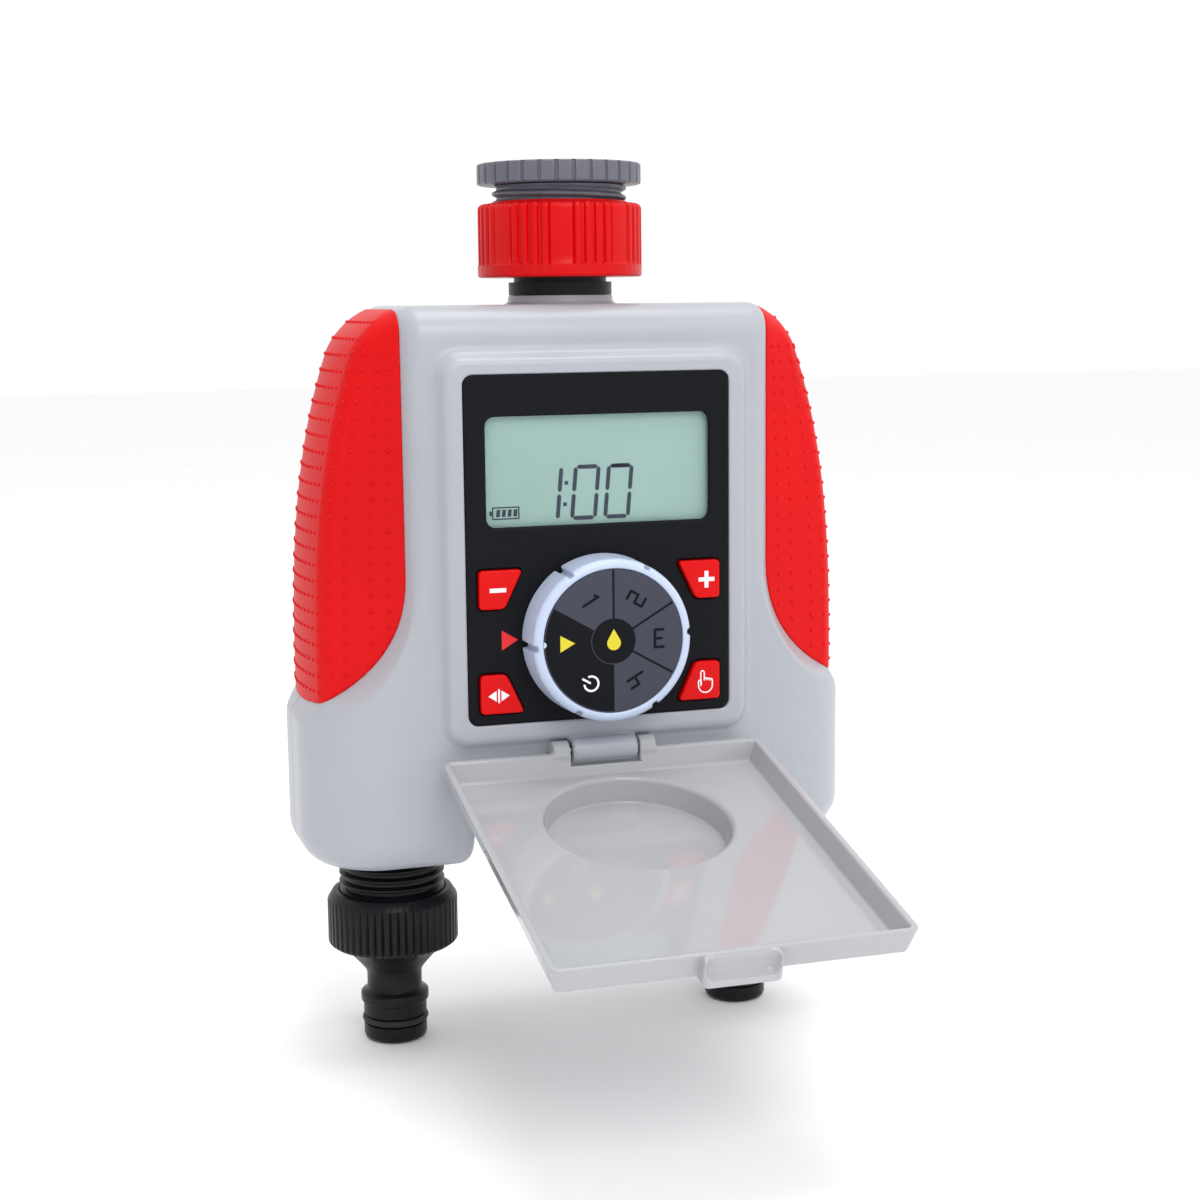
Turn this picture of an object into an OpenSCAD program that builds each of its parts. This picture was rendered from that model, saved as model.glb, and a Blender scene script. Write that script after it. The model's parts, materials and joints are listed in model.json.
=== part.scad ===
// Two-outlet irrigation controller that hangs from a garden tap.
// Origin: the tap thread's mouth, on its axis. +Z is up, -Y is the front. Millimetres.

/* [Case] */
// Half-width of the two lobes
lobe_half = 70.5; // [69.5:0.5:72]
// Front face, in front of the inlet axis
case_front = 27; // [26:0.5:28]
// Back face, behind the inlet axis
case_back = 26; // [25:0.5:27]
// Wall of the two case shells
wall = 2.2; // [2:0.1:2.4]
// Thickness of the soft side grips
grip_t = 2.2; // [2:0.1:2.4]
// Clearance between pieces that only touch
gap = 0.05; // [0.03:0.01:0.08]

/* [Control panel] */
// Half-width of the raised frame at its face
bezel_half = 36.9; // [36.5:0.1:37.2]
// Half-width of the black panel
panel_half = 33; // [32.8:0.1:33.2]
// Radius of the rotary dial
dial_r = 19.6; // [19.2:0.1:19.8]
// Height of the dial's centre
dial_z = -112.9; // [-113.2:0.1:-112.6]
// Travel of each push button
button_travel = 0.9; // [0.6:0.1:1]

/* [Lid] */
// Half-width of the lid's rim
lid_half = 40.36; // [40:0.1:40.8]
// Length of the lid's rim
lid_len = 93.7; // [93.4:0.1:94.2]
// Angle that the lid has opened through
lid_open = 103.85; // [90:1:106]

/* [Water fittings] */
// Bore of the tap thread (3/4 inch pipe thread, minor radius)
tap_bore_r = 12.1; // [12:0.05:12.2]
// Outside radius of the 1 inch pipe thread on the tap adapter
inlet_thread_r = 16.62; // [16.55:0.01:16.65]
// Outside radius of the 3/4 inch pipe threads on the outlets
outlet_thread_r = 13.22; // [13.15:0.01:13.25]
// Distance of each outlet from the middle
outlet_x = 46.4; // [46:0.1:46.8]
// Radius of the hose nose
nose_r = 7.95; // [7.9:0.01:8]
// Lift of each diaphragm plate
valve_lift = 1.6; // [1.2:0.1:1.8]
// Lift of each solenoid plunger
plunger_lift = 1.5; // [1.2:0.1:1.8]

/* [Battery tray] */
// Radius of an AA cell
cell_r = 7.2; // [7.1:0.05:7.25]
// Length of an AA cell
cell_len = 50.5; // [50:0.1:50.5]

/* [Hidden] */

grey = [0.76, 0.77, 0.80];
red = [0.88, 0.10, 0.12];
black = [0.13, 0.13, 0.14];
steel = [0.72, 0.72, 0.74];
pitch = 2.309;            // both pipe threads have 11 turns an inch
thread_depth = 1.15;
case_top = -34.1;
case_bottom = -169.5;
corner_r = 20;            // plan corners of the lobes
fillet_r = 8;             // top edge, front and back
core_half = 45.6;         // grey middle of the case, between the grips
grip_front = 23.3;        // grip's front edge, in front of the inlet axis
crease_front = 18;        // where a grip turns from front to side
arch_half = 30.5;         // gap between the lobes
arch_z = -150;
panel_top = -50.2;
panel_bottom = -133.2;
panel_y = -30.8;          // face of the panel and of its raised frame
plate_t = 2.2;
lcd_half = 27.8;
lcd_top = -60;
lcd_bottom = -86.05;
board_y = -19.5;          // front of the circuit board
board_t = 1.6;
hinge_y = -31.16;
hinge_z = -140.71;
hinge_r = 3.05;
knuckle_half = 8.2;
pin_r = 1.1;
lid_wall = 1.8;
lid_depth = 6.8;
lid_rim_y = -30.95;       // rim of the closed lid
dial_front = -41.05;
feed_x = 25.5;            // vertical feed pipes
seat_z = -108.5;
diaphragm_z = -106;
bonnet_top = -98;
nut_top = -9.7;
nut_bottom = -27.5;
nose_end = -218.3;
collar_z = -36.5;
tray_half = 16.9;
tray_depth = 7.9;
cell_x = 7.4;
cell_z = -148;            // lower end of the cells

// Half-width of the case beside the grips at a height: [height, half-width, how far the top edge cuts in]
flank_rows = [
    [-34.4, 46.5, 6.6], [-35, 48.7, 4.4], [-36.3, 51, 2.6], [-38.6, 54.6, 1], [-41.5, 56.4, 0.1],
    [-46, 58.4, 0], [-52, 60.4, 0], [-61, 62.7, 0], [-71, 65, 0], [-81, 66.6, 0],
    [-92, 67.6, 0], [-104, 68.2, 0], [-134, 68.4, 0]
];
// Lower front edge of a grip, from the straight front edge to its tip at the side
grip_edge = [
    [45.6, -98], [46.4, -105], [48.6, -112], [51.5, -117],
    [55, -121], [60, -124.9], [64.2, -127.4], [68.6, -129]
];

// Rounded rectangle from corner to corner
module rounded(x0, y0, x1, y1, r) {
    translate([x0 + r, y0 + r]) offset(r = r, $fn = 32) square([x1 - x0 - 2 * r, y1 - y0 - 2 * r]);
}

// Stands a front-view outline (x, z) up and gives it depth from y0 to y1
module front_view(y0, y1) {
    translate([0, y1, 0]) rotate([90, 0, 0]) linear_extrude(y1 - y0) children();
}

// Stands a side-view outline (y, z) up and gives it width from x0 to x1
module side_view(x0, x1) {
    translate([x0, 0, 0]) rotate([90, 0, 90]) linear_extrude(x1 - x0) children();
}

// Cylinder along Y
module rod_y(x, z, r, y0, y1, fn = 48) {
    translate([x, y1, z]) rotate([90, 0, 0]) cylinder(r = r, h = y1 - y0, $fn = fn);
}

// Cylinder along X
module rod_x(y, z, r, x0, x1, fn = 48) {
    translate([x0, y, z]) rotate([0, 90, 0]) cylinder(r = r, h = x1 - x0, $fn = fn);
}

// Cylinder along Z between two heights
module rod_z(r, z0, z1, fn = 64) {
    translate([0, 0, z0]) cylinder(r = r, h = z1 - z0, $fn = fn);
}

// Ring between two heights
module ring_z(r_out, r_in, z0, z1) {
    difference() {
        rod_z(r_out, z0, z1);
        rod_z(r_in, z0 - 1, z1 + 1);
    }
}

// Mirrored copies, left and right
module both_sides() {
    children();
    mirror([1, 0, 0]) children();
}

// Round outline with n ribs, each standing from r_in out to r_out over part of its pitch
function ribbed(n, r_in, r_out, share) = [
    for (i = [0:n - 1], k = [0:3])
        let (a = 360 / n * (i + [0, 0.06, share, share + 0.06][k]), r = [r_in, r_out, r_out, r_in][k])
        [r * cos(a), r * sin(a)]
];

// Outside thread drawn as rings between two heights
module thread_rings(r, z0, z1) {
    crests = floor((z1 - z0) / pitch);
    rotate_extrude($fn = 64) polygon(concat(
        [[0, z0]],
        [for (i = [0:crests - 1], k = [0:3])
            [[r - thread_depth, r, r, r - thread_depth][k], z0 + pitch * (i + [0.15, 0.42, 0.58, 0.85][k])]],
        [[r - thread_depth, z1], [0, z1]]
    ));
}

// Coil spring standing on z = 0: a tube swept round a helix
function helix(r, h, turns, wire, steps) = [
    for (i = [0:steps]) let (t = i / steps)
        [r * cos(360 * turns * t), r * sin(360 * turns * t), wire + (h - 2 * wire) * t]
];

module coil_spring(r, h, turns, wire) {
    steps = 14 * turns;
    sides = 6;
    path = helix(r, h, turns, wire, steps);
    points = [
        for (i = [0:steps], k = [0:sides - 1])
            let (a = 360 * turns * i / steps, b = 360 * k / sides)
            path[i] + wire * [cos(b) * cos(a), cos(b) * sin(a), sin(b)]
    ];
    walls = [
        for (i = [0:steps - 1], k = [0:sides - 1])
            let (n = (k + 1) % sides)
            [i * sides + k, i * sides + n, (i + 1) * sides + n, (i + 1) * sides + k]
    ];
    ends = [[for (k = [sides - 1:-1:0]) k], [for (k = [0:sides - 1]) steps * sides + k]];
    polyhedron(points, concat(walls, ends));
}

// ---- Case ----

// Grey middle of the case, drawn in by t all round
module core(t) {
    intersection() {
        side_view(-core_half + t, core_half - t)
            rounded(-case_front + t, -165, case_back - t, case_top - t, fillet_r - t);
        translate([0, 0, -140])
            linear_extrude(120)
            rounded(-core_half + t, -case_front + t, core_half - t, case_back - t, 3);
    }
}

// Case at the grips' outer surface, drawn in by t all round
module flanks(t) {
    hull()
        for (s = flank_rows) {
            w = s[1] - t;
            f = grip_front - t - s[2];
            side = crease_front - t - s[2];
            translate([0, 0, s[0] - t])
                linear_extrude(0.01)
                polygon([
                    [core_half, -f], [w - 2.5, -side], [w - 0.6, -side / 2], [w, 0],
                    [w - 0.6, side / 2], [w - 2.5, side - 1], [core_half, f - 1],
                    [-core_half, f - 1], [-w + 2.5, side - 1], [-w + 0.6, side / 2],
                    [-w, 0], [-w + 0.6, -side / 2], [-w + 2.5, -side], [-core_half, -f]
                ]);
        }
}

// Front view of the case below the grips, right half
function lower_half() = concat(
    [[0, -95], [core_half, -95]],
    grip_edge,
    [[lobe_half, -134.5]],
    [for (a = [0:-11.25:-90]) [lobe_half - 9.5 + 9.5 * cos(a), case_bottom + 9.5 + 9.5 * sin(a)]],
    [for (a = [-90:-15:-180]) [arch_half + 3.5 + 3.5 * cos(a), case_bottom + 3.5 + 3.5 * sin(a)]],
    [for (a = [0:15:90]) [arch_half - 6 + 6 * cos(a), arch_z - 6 + 6 * sin(a)]],
    [[0, arch_z]]
);

// The two lobes and the strip that joins them, drawn in by t
module lower(t) {
    intersection() {
        front_view(-case_front + t, case_back - t)
            offset(delta = -t) {
                polygon(lower_half());
                mirror([1, 0]) polygon(lower_half());
            }
        translate([0, 0, case_bottom])
            linear_extrude(90)
            rounded(-lobe_half + t, -case_front + t, lobe_half - t, case_back - t, corner_r - t);
        side_view(-80, 80)
            rounded(-case_front + t, case_bottom + t, case_back - t, -60, fillet_r - t);
    }
}

// Raised frame round the control panel
module bezel() {
    hull() {
        front_view(-case_front, -case_front + 0.5)
            rounded(-bezel_half - 2.4, -139.9, bezel_half + 2.4, -44.4, 6);
        front_view(panel_y, panel_y + 0.4)
            rounded(-bezel_half, -137.3, bezel_half, -47, 4.5);
    }
}

// Holes that both shells share: the inlet neck, the outlets and the battery opening
module port_holes() {
    rod_z(11.45, -45, -25);
    for (x = [-outlet_x, outlet_x])
        translate([x, 0, 0]) rod_z(12.05, -172, -160);
    translate([-20.3, -12.3, -152.6]) cube([40.6, 24.6, 12]);
}

// Case body without bosses, hollow
module case_body() {
    difference() {
        union() {
            core(0);
            flanks(grip_t + gap);
            lower(0);
            rod_z(12.9, -37, -31.9);
        }
        core(wall);
        flanks(grip_t + gap + wall);
        lower(wall);
        port_holes();
    }
}

// Case screws: [x, z, front end of the boss, its back end], both measured from the inlet axis
boss_places = [[38, -44, 25, 25], [24, -142, 25, 25], [62, -152, 20, 18]];
screw_seat = 12;

module front_shell() {
    color(grey)
    difference() {
        union() {
            intersection() {
                case_body();
                translate([-80, -40, -180]) cube([160, 40 - gap / 2, 160]);
            }
            bezel();
            rod_x(hinge_y, hinge_z, hinge_r, -knuckle_half, knuckle_half);
            translate([-knuckle_half, hinge_y, hinge_z - 2]) cube([2 * knuckle_half, 5, 3.5]);
            both_sides()
                for (b = boss_places)
                    rod_y(b[0], b[1], 3.6, -b[2], -gap / 2);
        }
        front_view(panel_y - 1, panel_y + plate_t + gap)
            rounded(-panel_half - gap, panel_bottom - gap, panel_half + gap, panel_top + gap, 2.5);
        front_view(-35, -23)
            rounded(-31.6, panel_bottom + 1.4, 31.6, panel_top - 1.4, 2);
        rod_x(hinge_y, hinge_z, pin_r + 0.05, -10, 10);
        both_sides()
            for (b = boss_places)
                rod_y(b[0], b[1], 1.5, -14, 1);
    }
}

module rear_shell() {
    color(grey)
    difference() {
        union() {
            intersection() {
                case_body();
                translate([-80, gap / 2, -180]) cube([160, 40, 160]);
            }
            both_sides()
                for (b = boss_places)
                    rod_y(b[0], b[1], 4.2, gap / 2, b[3]);
        }
        both_sides()
            for (b = boss_places) {
                rod_y(b[0], b[1], 1.7, -1, 30);
                rod_y(b[0], b[1], 3.3, screw_seat, 30);
            }
    }
}

module case_screws() {
    color(steel)
    both_sides()
        for (b = boss_places) {
            rod_y(b[0], b[1], 2.8, screw_seat + gap, screw_seat + 2.2);
            rod_y(b[0], b[1], 1.45, -12, screw_seat + 0.2);
        }
}

// Front view of the area that the right grip covers
function grip_area() = concat(
    [[core_half, -30], [90, -30], [90, -129]],
    [for (i = [len(grip_edge) - 1:-1:0]) grip_edge[i]]
);

module right_grip() {
    color(red)
    difference() {
        intersection() {
            flanks(0);
            front_view(-40, 40) offset(delta = -gap) polygon(grip_area());
        }
        flanks(grip_t);
    }
}

module left_grip() {
    color(red) mirror([1, 0, 0]) right_grip();
}

// ---- Control panel ----

// Front outline of an upper button (side = 1) or of a lower one (side = -1), grown by t
module button_outline(side, t) {
    inner_top = side > 0 ? 19.1 : 23.4;
    inner_bottom = side > 0 ? 23.6 : 19.1;
    z1 = side > 0 ? -96 : -121;
    z0 = side > 0 ? -105.3 : -130.4;
    offset(r = 1 + t, $fn = 32)
        polygon([[inner_top + 1.4, z1 - 1], [29.2, z1 - 1], [29.2, z0 + 1], [inner_bottom + 1.4, z0 + 1]]);
}

module all_button_outlines(t) {
    for (side = [-1, 1]) {
        button_outline(side, t);
        mirror([1, 0]) button_outline(side, t);
    }
}

board_posts = [[28, -54.3], [28.4, -113]];
panel_back = panel_y + plate_t;

module control_panel() {
    color(black)
    difference() {
        union() {
            front_view(panel_y, panel_back)
                rounded(-panel_half, panel_bottom, panel_half, panel_top, 2.5);
            both_sides()
                for (p = board_posts)
                    rod_y(p[0], p[1], 2, panel_back - 0.5, board_y - gap);
        }
        front_view(panel_y - 1, panel_back + 1) rounded(-lcd_half, lcd_bottom, lcd_half, lcd_top, 2.3);
        front_view(panel_back - 1.05, panel_back + 1)
            rounded(-lcd_half - 1.3, lcd_bottom - 1.3, lcd_half + 1.3, lcd_top + 1.3, 2.5);
        front_view(panel_y - 1, panel_back + 1) all_button_outlines(0.25);
        rod_y(0, dial_z, 4.6, panel_y - 1, panel_back + 1);
        both_sides()
            for (p = board_posts)
                rod_y(p[0], p[1], 0.95, board_y - 6, board_y + 1);
    }
}

module lcd_window() {
    color([0.8, 0.88, 0.86, 0.4])
    front_view(panel_back - 1, panel_back)
        rounded(-lcd_half - 1.2, lcd_bottom - 1.2, lcd_half + 1.2, lcd_top + 1.2, 2.4);
}

module lcd_module() {
    color([0.62, 0.72, 0.68])
    front_view(panel_back + gap, panel_back + 3)
        rounded(-29.6, lcd_bottom - 1.8, 29.6, lcd_top + 1.9, 1);
}

module circuit_board() {
    color([0.1, 0.4, 0.2])
    difference() {
        front_view(board_y, board_y + board_t)
            rounded(-30.6, -131.4, 30.6, -52, 1.5);
        both_sides()
            for (p = board_posts)
                rod_y(p[0], p[1], 1.3, -25, -10);
    }
}

module board_screws() {
    color(steel)
    both_sides()
        for (p = board_posts) {
            rod_y(p[0], p[1], 2, board_y + board_t + gap, board_y + board_t + 1.4);
            rod_y(p[0], p[1], 0.9, board_y - 5, board_y + board_t + 0.2);
        }
}

// Notches in the dial's rim stand at its six settings
module dial_knob() {
    color([0.84, 0.88, 0.96])
    difference() {
        union() {
            rod_y(0, dial_z, dial_r, dial_front + 1.2, panel_y - 0.3, 96);
            rod_y(0, dial_z, dial_r - 1.1, dial_front, dial_front + 2, 96);
            rod_y(0, dial_z, 4.3, panel_y - 1, -25.5);
        }
        rod_y(0, dial_z, 17.2, dial_front - 1, dial_front + 0.8, 96);
        difference() {
            rod_y(0, dial_z, 17, dial_front + 2.4, panel_y + 1, 96);
            rod_y(0, dial_z, 4.3, dial_front, panel_y + 2);
        }
        rod_y(0, dial_z, 3.02, dial_front + 2.6, -20);
        for (a = [0:60:300])
            translate([0, 0, dial_z])
            rotate([0, -a, 0])
            rod_y(dial_r + 0.7, 0, 1.5, dial_front - 1, dial_front + 4.5, 24);
    }
}

module dial_label() {
    color([0.3, 0.3, 0.34]) rod_y(0, dial_z, 17.15, dial_front + 0.2, dial_front + 0.75, 96);
}

module switch_shaft() {
    color(steel) rod_y(0, dial_z, 3, dial_front + 2.8, -20.2);
}

module rotary_switch() {
    color([0.2, 0.3, 0.5])
    difference() {
        union() {
            translate([-6.5, -25, dial_z - 6.5]) cube([13, 25 + board_y - gap, 13]);
        }
        rod_y(0, dial_z, 3.05, -30, board_y - 0.6);
    }
}

button_stems = [[26, -100.65, 1], [25.5, -125.7, -1]];
stem_end = -24.6;

module tact_switches() {
    color([0.16, 0.16, 0.17])
    both_sides()
        for (b = button_stems) {
            translate([b[0] - 3, -23, b[1] - 3]) cube([6, 23 + board_y - gap, 6]);
            rod_y(b[0], b[1], 1.6, stem_end + button_travel + 0.1, -22.9, 32);
        }
}

// Push button: side = 1 for the upper pair, -1 for the lower pair
module button(side) {
    b = side > 0 ? button_stems[0] : button_stems[1];
    color(red) {
        front_view(-31.9, panel_back + 0.2) button_outline(side, 0);
        front_view(panel_back + 0.1, panel_back + 0.9) button_outline(side, 0.7);
        rod_y(b[0], b[1], 2.2, panel_back + 0.5, stem_end, 32);
    }
}

module minus_button() { mirror([1, 0, 0]) button(1); }
module plus_button() { button(1); }
module zone_button() { mirror([1, 0, 0]) button(-1); }
module manual_button() { button(-1); }

// ---- Lid, drawn closed and then swung open about its hinge ----

lid_near_z = hinge_z + 0.8;
lid_far_z = lid_near_z + lid_len;
lid_draft = 2.2;
recess_r = 22.4;
recess_floor = -42.4;
lid_floor = lid_rim_y - lid_depth + lid_wall;

// Tray of the lid, drawn in by t on every side and cut off at rim
module lid_form(t, rim) {
    hull() {
        front_view(rim - 0.2, rim)
            rounded(-lid_half + t, lid_near_z + t, lid_half - t, lid_far_z - t, 2.5);
        front_view(lid_rim_y - lid_depth + t, lid_rim_y - lid_depth + t + 0.2)
            rounded(-lid_half + t + lid_draft, lid_near_z + t + lid_draft / 2,
                lid_half - t - lid_draft, lid_far_z - t - lid_draft, 3.5);
    }
}

module closed_lid() {
    difference() {
        union() {
            lid_form(0, lid_rim_y);
            rod_y(0, dial_z, recess_r + lid_wall, recess_floor - lid_wall, lid_floor, 96);
            front_view(lid_rim_y - lid_depth, lid_rim_y - 0.6)
                rounded(-8, lid_far_z - 4, 8, lid_far_z + 2.6, 1);
            both_sides()
                rod_x(hinge_y, hinge_z, 2.5, knuckle_half + 0.5, 13);
        }
        intersection() {
            lid_form(lid_wall, lid_rim_y + 0.4);
            translate([-50, -60, lid_near_z + lid_wall]) cube([100, 60, 100]);
        }
        rod_y(0, dial_z, recess_r, recess_floor, lid_rim_y, 96);
        translate([-knuckle_half - 0.5, -35.2, hinge_z - 4]) cube([2 * knuckle_half + 1, 10, 7.2]);
        rod_x(hinge_y, hinge_z, pin_r + 0.02, -12.4, 12.4);
    }
}

module front_lid() {
    color([0.78, 0.78, 0.79])
    translate([0, hinge_y, hinge_z])
        rotate([lid_open, 0, 0])
        translate([0, -hinge_y, -hinge_z])
        closed_lid();
}

module hinge_pin() {
    color(steel) rod_x(hinge_y, hinge_z, pin_r, -12.2, 12.2);
}

// ---- Inlet ----

module tap_adapter() {
    color([0.40, 0.40, 0.43])
    difference() {
        union() {
            translate([0, 0, -5]) linear_extrude(5) polygon(ribbed(30, 19.7, 20.25, 0.8));
            thread_rings(inlet_thread_r, -19.6, -4.9);
        }
        rod_z(tap_bore_r, -12, 1, 96);
        rod_z(13.4, -14.6, -12);
        rod_z(9.5, -21, -10);
    }
}

module tap_washer() {
    color(black) ring_z(13.3, 8.5, -14.55, -12.6);
}

module filter_washer() {
    color(black) ring_z(15.6, 10.4, -20.9, -19.7);
}

module filter_mesh() {
    color(steel)
    difference() {
        rod_z(10.3, -20.6, -20.1);
        for (x = [-7.5:3:7.5], y = [-7.5:3:7.5])
            if (norm([x, y]) < 9.4)
                translate([x - 1, y - 1, -21]) cube([2, 2, 2]);
    }
}

nut_web = -23.5;

module inlet_nut() {
    color(red)
    difference() {
        union() {
            translate([0, 0, nut_bottom + 3]) linear_extrude(nut_top - nut_bottom - 4.5)
                polygon(ribbed(48, 19.7, 20.5, 0.62));
            rotate_extrude($fn = 96) polygon([
                [0, nut_bottom], [20, nut_bottom], [20.4, nut_bottom + 0.4], [20.4, nut_bottom + 3],
                [19.7, nut_bottom + 3.2], [19.7, nut_top - 1.5], [18.6, nut_top], [0, nut_top]
            ]);
        }
        rod_z(inlet_thread_r + 0.05, nut_web, 0, 96);
        rod_z(11.58, -30, -5, 96);
    }
}

module inlet_manifold() {
    color(black)
    difference() {
        union() {
            rod_z(16, nut_web + gap, -21);
            rod_z(11.5, -28.8, -22);
            rod_z(12.83, -31.85, -28.7);
            rod_z(11.4, -50, -31);
            rod_z(14, -39.2, collar_z);
            rod_x(0, -50, 8, -feed_x, feed_x);
            both_sides() {
                translate([feed_x, 0, 0]) rod_z(6, -123.5, -50);
                translate([feed_x, 0, -50]) sphere(r = 8, $fn = 48);
                rod_x(0, -118, 5, feed_x, outlet_x - 11);
            }
        }
        rod_z(8, -50, 0);
        rod_x(0, -50, 5.5, -feed_x, feed_x);
        both_sides() {
            translate([feed_x, 0, 0]) rod_z(4.3, -121, -50);
            rod_x(0, -118, 3.6, feed_x, outlet_x);
        }
    }
}

// ---- Valves: drawn for the right outlet on its own axis, then placed ----

module at_outlet(side) {
    mirror([side < 0 ? 1 : 0, 0, 0]) translate([outlet_x, 0, 0]) children();
}

lug_angles = [45, 135, 225, 315];
lug_r = 14.6;
spigot_end = -187.5;

module lugs(z0, z1, r) {
    for (a = lug_angles)
        rotate(a) translate([lug_r, 0, 0]) rod_z(r, z0, z1, 32);
}

module valve_body(side) {
    color(black)
    at_outlet(side)
    difference() {
        union() {
            rod_z(13, -127, diaphragm_z);
            rod_z(14.3, -109.5, diaphragm_z);
            lugs(-113, diaphragm_z, 2.4);
            rod_z(10.8, -168, -126);
            rod_z(13.4, -167.25, -164.2);
            rod_z(12, -170, -167);
            thread_rings(outlet_thread_r, spigot_end, case_bottom - 0.1);
            rod_x(0, -118, 7, -14.2, -10);
        }
        difference() {
            rod_z(11, -124, -100);
            rod_z(7.2, -125, seat_z);
        }
        rod_z(5.4, -130, -100);
        rod_z(8.6, -190, -129);
        rod_x(0, -118, 5.05, -20, -9);
        lugs(-112, -100, 0.95);
    }
}

// Rubber membrane: clamped rim, one convolution and the pad over the seat
module diaphragm(side) {
    color([0.2, 0.2, 0.2])
    at_outlet(side)
    rotate_extrude($fn = 64) polygon([
        [0, seat_z + 0.02], [7.6, seat_z + 0.02], [8.4, -107.8], [9.2, -106.4], [10, -105.95],
        [13.2, -105.95], [13.2, -104.9], [9.6, -104.9], [8.4, -105.6], [7.4, -107.2], [0, -107.2]
    ]);
}

module diaphragm_plate(side) {
    color([0.85, 0.85, 0.82])
    at_outlet(side) {
        rod_z(6.6, -107.1, -105.4);
        rod_z(2, -106, -102.4);
    }
}

module bonnet(side) {
    color([0.25, 0.25, 0.27])
    at_outlet(side)
    difference() {
        union() {
            rod_z(14.3, -104.85, -102);
            lugs(-104.85, -102, 2.4);
            rod_z(11, -103, bonnet_top);
            rod_z(5.2, -99, -72.5);
        }
        rod_z(9, -105, -102 + valve_lift);
        rod_z(4.05, -97, -74);
        rod_z(0.7, -101, -96);
        lugs(-106, -100, 1.2);
    }
}

module bonnet_screws(side) {
    color(steel)
    at_outlet(side) {
        lugs(-101.95, -100.4, 2);
        lugs(-111, -101.5, 0.9);
    }
}

module plunger(side) {
    color(steel)
    at_outlet(side)
    difference() {
        rod_z(4, -96.9, -78.5 - plunger_lift);
        rod_z(2.4, -84, -79);
    }
}

module plunger_spring(side) {
    color(steel)
    at_outlet(side)
    translate([0, 0, -83.9]) coil_spring(1.9, 9.8, 5, 0.28);
}

module coil(side) {
    color([0.72, 0.36, 0.16])
    at_outlet(side)
    difference() {
        union() {
            rod_z(9.2, -95.6, -76.4);
            rod_z(9.8, -97.2, -95.6);
            rod_z(9.8, -76.4, -74.8);
        }
        rod_z(5.25, -99, -70);
    }
}

module coil_frame(side) {
    color(steel)
    at_outlet(side)
    difference() {
        union() {
            translate([-8, -8, -74.7]) cube([16, 19.4, 1.2]);
            translate([-8, 10, -97.9]) cube([16, 1.4, 24]);
            translate([-8, -8, -97.9]) cube([16, 19.4, 0.6]);
        }
        rod_z(5.25, -99, -70);
    }
}

// ---- Hose connectors ----

module connector(side) {
    color(black)
    at_outlet(side)
    difference() {
        union() {
            translate([0, 0, -192.9]) linear_extrude(11.3) polygon(ribbed(52, 15.8, 16.35, 0.55));
            rotate_extrude($fn = 96) polygon([
                [0, -179.4], [14.9, -179.4], [15.8, -181.6], [15.8, -192.9], [15.3, -193.5], [11.6, -195.3],
                [9.9, -197.1], [7.6, -199.8], [6.9, -201.2], [6.9, -205.3], [8.2, -206.2], [8.55, -206.6],
                [8.55, -208.6], [nose_r, -209.2], [nose_r, -212.2], [6.6, -212.4], [6.6, -214.2],
                [nose_r, -214.4], [nose_r, -217.4], [7.1, nose_end], [0, nose_end]
            ]);
        }
        rod_z(outlet_thread_r + 0.06, -190.2, -170, 96);
        rod_z(5.2, -230, -180);
    }
}

module connector_washer(side) {
    color([0.25, 0.25, 0.25]) at_outlet(side) ring_z(12.9, 8, -190.15, spigot_end - 0.05);
}

module nose_ring(side) {
    color([0.08, 0.08, 0.08])
    at_outlet(side)
    translate([0, 0, -213.3])
        rotate_extrude($fn = 64) translate([7.49, 0]) circle(r = 0.86, $fn = 24);
}

// ---- Batteries ----

bay_top = -94.6;
tray_top = cell_z + cell_len + 0.6;

module battery_bay() {
    color([0.3, 0.3, 0.32])
    difference() {
        translate([-18.6, -9.6, arch_z + wall + gap]) cube([37.2, 19.2, bay_top - arch_z - wall - gap]);
        translate([-17.2, -8.2, arch_z]) cube([34.4, 16.4, bay_top - arch_z - 1.4]);
    }
}

module battery_tray() {
    color([0.3, 0.3, 0.32])
    difference() {
        union() {
            translate([-tray_half, -tray_depth, cell_z - 2.4])
                cube([2 * tray_half, 2 * tray_depth, 2.4 + tray_top - cell_z]);
            translate([-20, -12, -152.4]) cube([40, 24, 2.35]);
            translate([-9, -1.5, -156]) cube([18, 3, 4]);
        }
        translate([-14.9, -tray_depth - 1, cell_z - 0.3]) cube([29.8, 2 * tray_depth + 2, cell_len + 0.5]);
    }
}

module batteries() {
    color([0.15, 0.2, 0.3])
    for (s = [-1, 1])
        translate([s * cell_x, 0, 0]) {
            rod_z(cell_r, cell_z, cell_z + cell_len - 1.6);
            rod_z(2.7, cell_z + cell_len - 1.7, cell_z + cell_len);
        }
}

module battery_contacts() {
    color(steel)
    for (s = [-1, 1])
        translate([s * cell_x - 3, -3, bay_top - 1.8]) cube([6, 6, 0.4]);
}

module tray_gasket() {
    color([0.1, 0.1, 0.1])
    translate([0, 0, arch_z - 0.04])
        linear_extrude(0.9)
        difference() {
            rounded(-19.6, -11.6, 19.6, 11.6, 2);
            rounded(-18.8, -10.8, 18.8, 10.8, 2);
        }
}

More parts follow.
